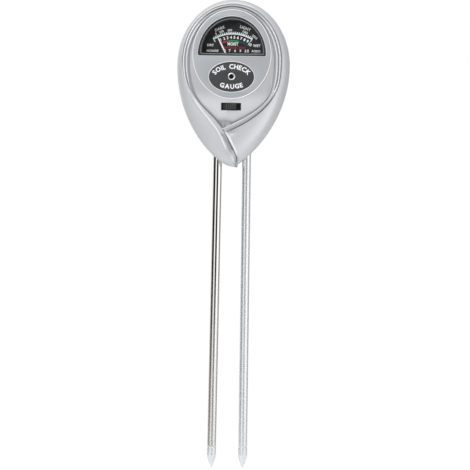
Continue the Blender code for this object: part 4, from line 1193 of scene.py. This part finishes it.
def archedWord(text, size, rx, rz, mid, gap, top, depth, bold):
    # letters stand on an ellipse x = rx sin b, z = mid + rz cos b (or mid - rz cos b below), each
    # as far along it as the letters before it are wide, with an even gap between them
    letters = []
    for letter in text:
        if letter == " ":
            letters.append((None, size * 0.42))
            continue
        points, quads, tris = wordMesh(letter, size, (0.0, 0.0), 0.0, depth, bold=bold)
        low, high = points[:, 0].min(), points[:, 0].max()
        points[:, 0] -= (low + high) / 2
        letters.append(((points, quads, tris), high - low))
    total = sum(width for _, width in letters) + gap * (len(letters) - 1)
    table = np.linspace(-math.pi / 2, math.pi / 2, 721)
    sign = 1.0 if top else -1.0
    line = np.stack([rx * np.sin(table), mid + sign * rz * np.cos(table)], -1)
    walk = np.concatenate([[0], np.cumsum(np.linalg.norm(np.diff(line, axis=0), axis=1))])
    walk -= walk[-1] / 2
    shapes, reach = [], -total / 2
    for made, width in letters:
        b = float(np.interp(reach + width / 2, walk, table))
        reach += width + gap
        if made is None:
            continue
        points, quads, tris = made
        tilt = -sign * math.atan2(rz * math.sin(b), rx * math.cos(b))
        x = rx * math.sin(b) + points[:, 0] * math.cos(tilt) - points[:, 2] * math.sin(tilt)
        z = mid + sign * rz * math.cos(b) + points[:, 0] * math.sin(tilt) + points[:, 2] * math.cos(tilt)
        shapes.append((np.stack([x, points[:, 1], z], -1), quads, tris))
    return shapes


inkDepth = badge["near"] + 0.02
words = archedWord("SOIL CHECK", 3.75, 11.0, 6.0, badge["mid"], 0.34, True, inkDepth, 0.13)
words += archedWord("GAUGE", 3.7, 11.2, 5.9, badge["mid"], 0.4, False, inkDepth, 0.13)
makePiece("badgeWords", words, printWhite, "head")
print("print: dial scales, numerals and badge words")


needleLook = {"bearing": -26.2, "reach": 19.7, "heel": 2.0, "tip": 0.42, "root": 0.56,
              "near": 7.32, "far": 7.0, "arch": 0.1}


def needleShape():
    # a blade whose half width grows evenly from tip to root, with an arched front face:
    # depth = near - arch * (across / half width)^2
    n = needleLook
    along = np.linspace(n["heel"], n["reach"], 40)
    half = n["root"] + (n["tip"] - n["root"]) * (along - n["heel"]) / (n["reach"] - n["heel"])
    half[-1] *= 0.5
    across = np.concatenate([np.linspace(-1, 1, 9), [1.0, -1.0]])
    front = n["near"] - n["arch"] * np.linspace(-1, 1, 9) ** 2
    depth = np.concatenate([front, [n["far"], n["far"]]])
    b = math.radians(n["bearing"])
    u = across[None] * half[:, None]
    x = along[:, None] * math.sin(b) + u * math.cos(b)
    z = pivot[1] + along[:, None] * math.cos(b) - u * math.sin(b)
    y = np.repeat(-depth[None], len(along), 0)
    return gridShape(np.stack([x, y, z], -1), capStart=True, capEnd=True)


makePiece("needleBlade", [needleShape()], materials["needle_white"], "needle", ("needle",))
print("needle: white blade")


knob = {"half": 3.1, "tall": 1.85, "mid": 216.2, "front": 12.75, "back": 8.75, "ribs": 5,
        "rib": 0.4, "edge": 0.25, "drawIn": 0.955,
        "tray": ((-9.5, 9.5), (-9.1, -8.4), (213.0, 219.4)),
        "stem": ((-2.0, 2.0), (-8.5, -5.6), (215.2, 217.2))}


def knobShape():
    # the cross-section in XY has a ribbed front, F - rib * (1 + cos(2 pi ribs u)) / 2 with u the
    # share of the width, and is carried up Z with its ends drawn in
    k = knob
    x = np.linspace(-k["half"], k["half"], 121)
    wave = 0.5 + 0.5 * np.cos(2 * np.pi * k["ribs"] * (x + k["half"]) / (2 * k["half"]))
    frontY = k["front"] - k["rib"] * wave - k["edge"] * smoothStep(2.7, 3.1, np.abs(x))
    section = np.vstack([np.stack([x, -frontY], -1), [[k["half"], -k["back"]], [-k["half"], -k["back"]]]])
    rows = []
    for z, s in ((-1.0, k["drawIn"]), (-0.93, 1.0), (0.93, 1.0), (1.0, k["drawIn"])):
        part = section.copy()
        part[:, 0] *= s
        part[:, 1] = -k["back"] + (part[:, 1] + k["back"]) * (s if abs(z) == 1.0 else 1.0)
        height = np.full(len(part), k["mid"] + z * k["tall"])
        rows.append(np.stack([part[:, 0], part[:, 1], height], -1))
    return gridShape(np.array(rows), capStart=True, capEnd=True)


tray = boxShape(*knob["tray"], 0.3)
stem = boxShape(*knob["stem"], 0.2)
# black plastic whose colour is multiplied by painted highlights and shade
knobPaint = withCavity(finish("knobPlastic", (0.05, 0.05, 0.052), 0.3, 0.0, grain=3000.0, depth=0.00002,
                              strength=0.25, vary=0.1, coat=0.3))
knobPiece = makePiece("switchKnob", [knobShape(), tray, stem], knobPaint, "selector",
                      ("switch_knob",), sharp=50.0)


def knobTone(mesh):
    # painted shade between the ribs and painted highlights on top of them, 0.15 + 1.15 (1 - wave); painted
    # shade darkens the tray, the stem and the knob's back
    x, y = pointsOf(mesh).T[:2]
    wave = 0.5 + 0.5 * np.cos(2 * np.pi * knob["ribs"] * (x + knob["half"]) / (2 * knob["half"]))
    setTone(mesh, np.where(y < -knob["back"] - 1.0, 0.15 + 1.15 * (1 - wave), 0.15))


knobTone(knobPiece.data)
print("switch: ribbed knob on its tray")


probe = {"radius": 2.6, "foot": bore["foot"], "top": 206.5, "tipTop": 13.0,
         "lean": math.degrees(math.atan2(bore["drift"], bore["rise"])),
         # heights above the floor, and the radius at each
         "ogive": ([0.0, 0.3, 1.2, 2.3, 4.9, 8.2, 12.2], [0.0, 0.22, 0.6, 1.05, 2.03, 2.64, 2.72])}

for side, word in ((-1, "left"), (1, "right")):
    lean = -side * probe["lean"]
    at = (side * probe["foot"], 0.0, 0.0)
    high = np.linspace(probe["tipTop"] + 0.45, probe["top"] - 0.4, 60)
    collar = probe["tipTop"] + 0.3
    tube = [(2.1, 196.0), (2.1, 60.0), (2.1, collar), (2.5, collar)]
    tube += [(probe["radius"], h) for h in high]
    tube += [(2.3, probe["top"]), (0.8, probe["top"]), (0.8, 200.5)]
    slotName = "nickel_bright" if side < 0 else "aluminium_satin"
    points = latheShape(tube, at, lean, cols=128)
    makePiece(f"probeTube{word.title()}", [gridShape(points, capStart=True, capEnd=True)],
              materials[slotName], "head", (f"probe_tube_{word}",), sharp=30.0)
    # the point: close to the full radius down to 8 mm, then it narrows to the tip along the
    # radii of probe["ogive"], read in a straight line between its heights
    tip = [(1.8, 22.6), (1.8, probe["tipTop"]), (2.5, probe["tipTop"]), (2.7, 12.75), (2.72, 12.2)]
    h = np.linspace(11.6, 0.12, 36)
    radius = np.interp(h, *probe["ogive"])
    tip += list(zip(radius, h))
    tip.append((0.04, 0.01))
    points = latheShape(tip, at, lean, cols=96)
    makePiece(f"probeTip{word.title()}", [gridShape(points, capStart=True, capEnd=True)],
              materials["aluminium_satin"], "head", (f"probe_tip_{word}",), sharp=30.0)
print("probes: tubes and points")


stage = {
    "floorSize": 0.44,
    "floorColor": (0.95, 0.95, 0.95),
    "floorGlow": 0.42,
    "ambient": (0.55, 0.56, 0.575),
    "band": (0.10, 0.22),
    "behind": (0.40, 0.40, 0.40),
    "aim": (0.0, 0.0, 0.16),
    "under": -0.0004,  # the floor lies a little below the points
    "room": [
        # bearing in degrees from the front, tone
        (-116.0, (0.9, 0.9, 0.9)),
        (-102.0, (0.015, 0.015, 0.015)),
        (-46.0, (0.015, 0.015, 0.015)),
        (-39.0, (1.15, 1.15, 1.15)),
        (-13.0, (1.15, 1.15, 1.15)),
        (-7.0, (0.03, 0.022, 0.018)),
        (31.0, (0.03, 0.022, 0.018)),
        (38.0, (1.35, 1.35, 1.35)),
        (84.0, (1.35, 1.35, 1.35)),
        (94.0, (0.35, 0.35, 0.35)),
    ],
    "lights": [
        # name, bearing, height, distance, width, tall, power, color
        ("keyLeft", -40.0, 1.05, 1.0, 0.8, 0.8, 8.5, (1.0, 1.0, 1.0)),
        ("lowFront", 40.0, -0.30, 1.2, 1.0, 0.4, 2.0, (1.0, 1.0, 1.0)),
        ("topSoft", 10.0, 1.35, 0.3, 0.8, 0.8, 2.5, (1.0, 1.0, 1.0)),
    ],
}

floorMesh = bpy.data.meshes.new("floor")
h = stage["floorSize"] / 2
under = stage["under"]
corners = [(-h, -h, under), (h, -h, under), (h, h, under), (-h, h, under)]
floorMesh.from_pydata(corners, [], [(0, 1, 2, 3)])
floor = bpy.data.objects.new("floor", floorMesh)
bpy.context.scene.collection.objects.link(floor)
paleFloor = finish("paleFloor", stage["floorColor"], 0.7, vary=0.01, strength=0.05)
floorMesh.materials.append(paleFloor)
# the floor is lifted to white for the camera alone, so that its far edge melts into the room
floorNodes, floorLinks = paleFloor.node_tree.nodes, paleFloor.node_tree.links
floorSeen = addNode(floorNodes, "LightPath")
glow = addNode(floorNodes, "Math", {1: stage["floorGlow"]}, operation="MULTIPLY")
floorLinks.new(floorSeen.outputs["Is Camera Ray"], glow.inputs[0])
floorLinks.new(glow.outputs["Value"], floorNodes["Principled BSDF"].inputs["Emission Strength"])
floorNodes["Principled BSDF"].inputs["Emission Color"].default_value = (1.0, 1.0, 1.0, 1.0)

# the room: white as the camera sees it; for light and reflections an even grey, with a band
# round the horizon whose tone changes with bearing, as dark stands and soft boxes would
world = bpy.data.worlds.new("studio")
bpy.context.scene.world = world
world.use_nodes = True
nodes, links = world.node_tree.nodes, world.node_tree.links
sky = nodes["Background"]
seen = addNode(nodes, "LightPath")
place = addNode(nodes, "TexCoord")
split = addNode(nodes, "SeparateXYZ")
links.new(place.outputs["Generated"], split.inputs["Vector"])
front = addNode(nodes, "Math", {1: -1.0}, operation="MULTIPLY")
links.new(split.outputs["Y"], front.inputs[0])
bearing = addNode(nodes, "Math", operation="ARCTAN2")
links.new(split.outputs["X"], bearing.inputs[0])
links.new(front.outputs["Value"], bearing.inputs[1])
share = addNode(nodes, "MapRange", {"From Min": -math.pi, "From Max": math.pi})
links.new(bearing.outputs["Value"], share.inputs["Value"])
room = addNode(nodes, "ValToRGB")
links.new(share.outputs["Result"], room.inputs["Fac"])
stops = room.color_ramp.elements
stops[0].color = stops[1].color = (*stage["behind"], 1.0)
for degree, tone in stage["room"]:
    stops.new((degree + 180.0) / 360.0).color = (*tone, 1.0)
height = addNode(nodes, "Math", operation="ABSOLUTE")
links.new(split.outputs["Z"], height.inputs[0])
inBand = addNode(nodes, "MapRange", {
    "From Min": stage["band"][0],
    "From Max": stage["band"][1],
}, interpolation_type="SMOOTHSTEP")
links.new(height.outputs["Value"], inBand.inputs["Value"])
around = addNode(nodes, "Mix", {"B": (*stage["ambient"], 1.0)}, data_type="RGBA")
links.new(inBand.outputs["Result"], around.inputs["Factor"])
links.new(room.outputs["Color"], around.inputs["A"])
level = addNode(nodes, "Mix", {"B": (1.0, 1.0, 1.0, 1.0)}, data_type="RGBA")
links.new(seen.outputs["Is Camera Ray"], level.inputs["Factor"])
links.new(around.outputs["Result"], level.inputs["A"])
links.new(level.outputs["Result"], sky.inputs["Color"])

# each light stands at (sin b, -cos b) times its distance, b its bearing, and looks at the aim
for name, bearing, high, distance, wide, tall, power, color in stage["lights"]:
    data = bpy.data.lights.new(name, "AREA")
    data.shape = "RECTANGLE"
    data.size = wide
    data.size_y = tall
    data.energy = power
    data.color = color
    lamp = bpy.data.objects.new(name, data)
    bpy.context.scene.collection.objects.link(lamp)
    b = math.radians(bearing)
    lamp.location = (math.sin(b) * distance, -math.cos(b) * distance, high)
    aim = Vector(stage["aim"]) - Vector(lamp.location)
    lamp.rotation_euler = aim.to_track_quat("-Z", "Y").to_euler()

# the camera stands where the view's width fills the sensor: distance = (width / 2) / tan(half
# the angle), tan(half the angle) = (sensor / 2) / lens
view = {"bearing": 6.0, "roll": 1.0, "lens": 600.0, "sensor": 36.0, "width": 0.2806,
        "high": 0.13966, "aside": 0.00252}
data = bpy.data.cameras.new("camera")
data.lens = view["lens"]
data.sensor_width = view["sensor"]
data.clip_end = 80.0
camera = bpy.data.objects.new("camera", data)
bpy.context.scene.collection.objects.link(camera)
b, roll = math.radians(view["bearing"]), math.radians(view["roll"])
backward = Vector((math.sin(b), -math.cos(b), 0.0))
aside = Vector((math.cos(b), math.sin(b), 0.0))
upright = Vector((0.0, 0.0, 1.0))
right = aside * math.cos(roll) + upright * math.sin(roll)
up = upright * math.cos(roll) - aside * math.sin(roll)
distance = view["width"] / 2 / math.tan(math.atan(view["sensor"] / 2 / view["lens"]))
place = upright * view["high"] + aside * view["aside"] + backward * distance
camera.matrix_world = Matrix((
    (right.x, up.x, backward.x, place.x),
    (right.y, up.y, backward.y, place.y),
    (right.z, up.z, backward.z, place.z),
    (0.0, 0.0, 0.0, 1.0),
))
bpy.context.scene.camera = camera
bpy.context.scene.view_settings.view_transform = "Standard"
print("stage: floor, soft lights and camera")
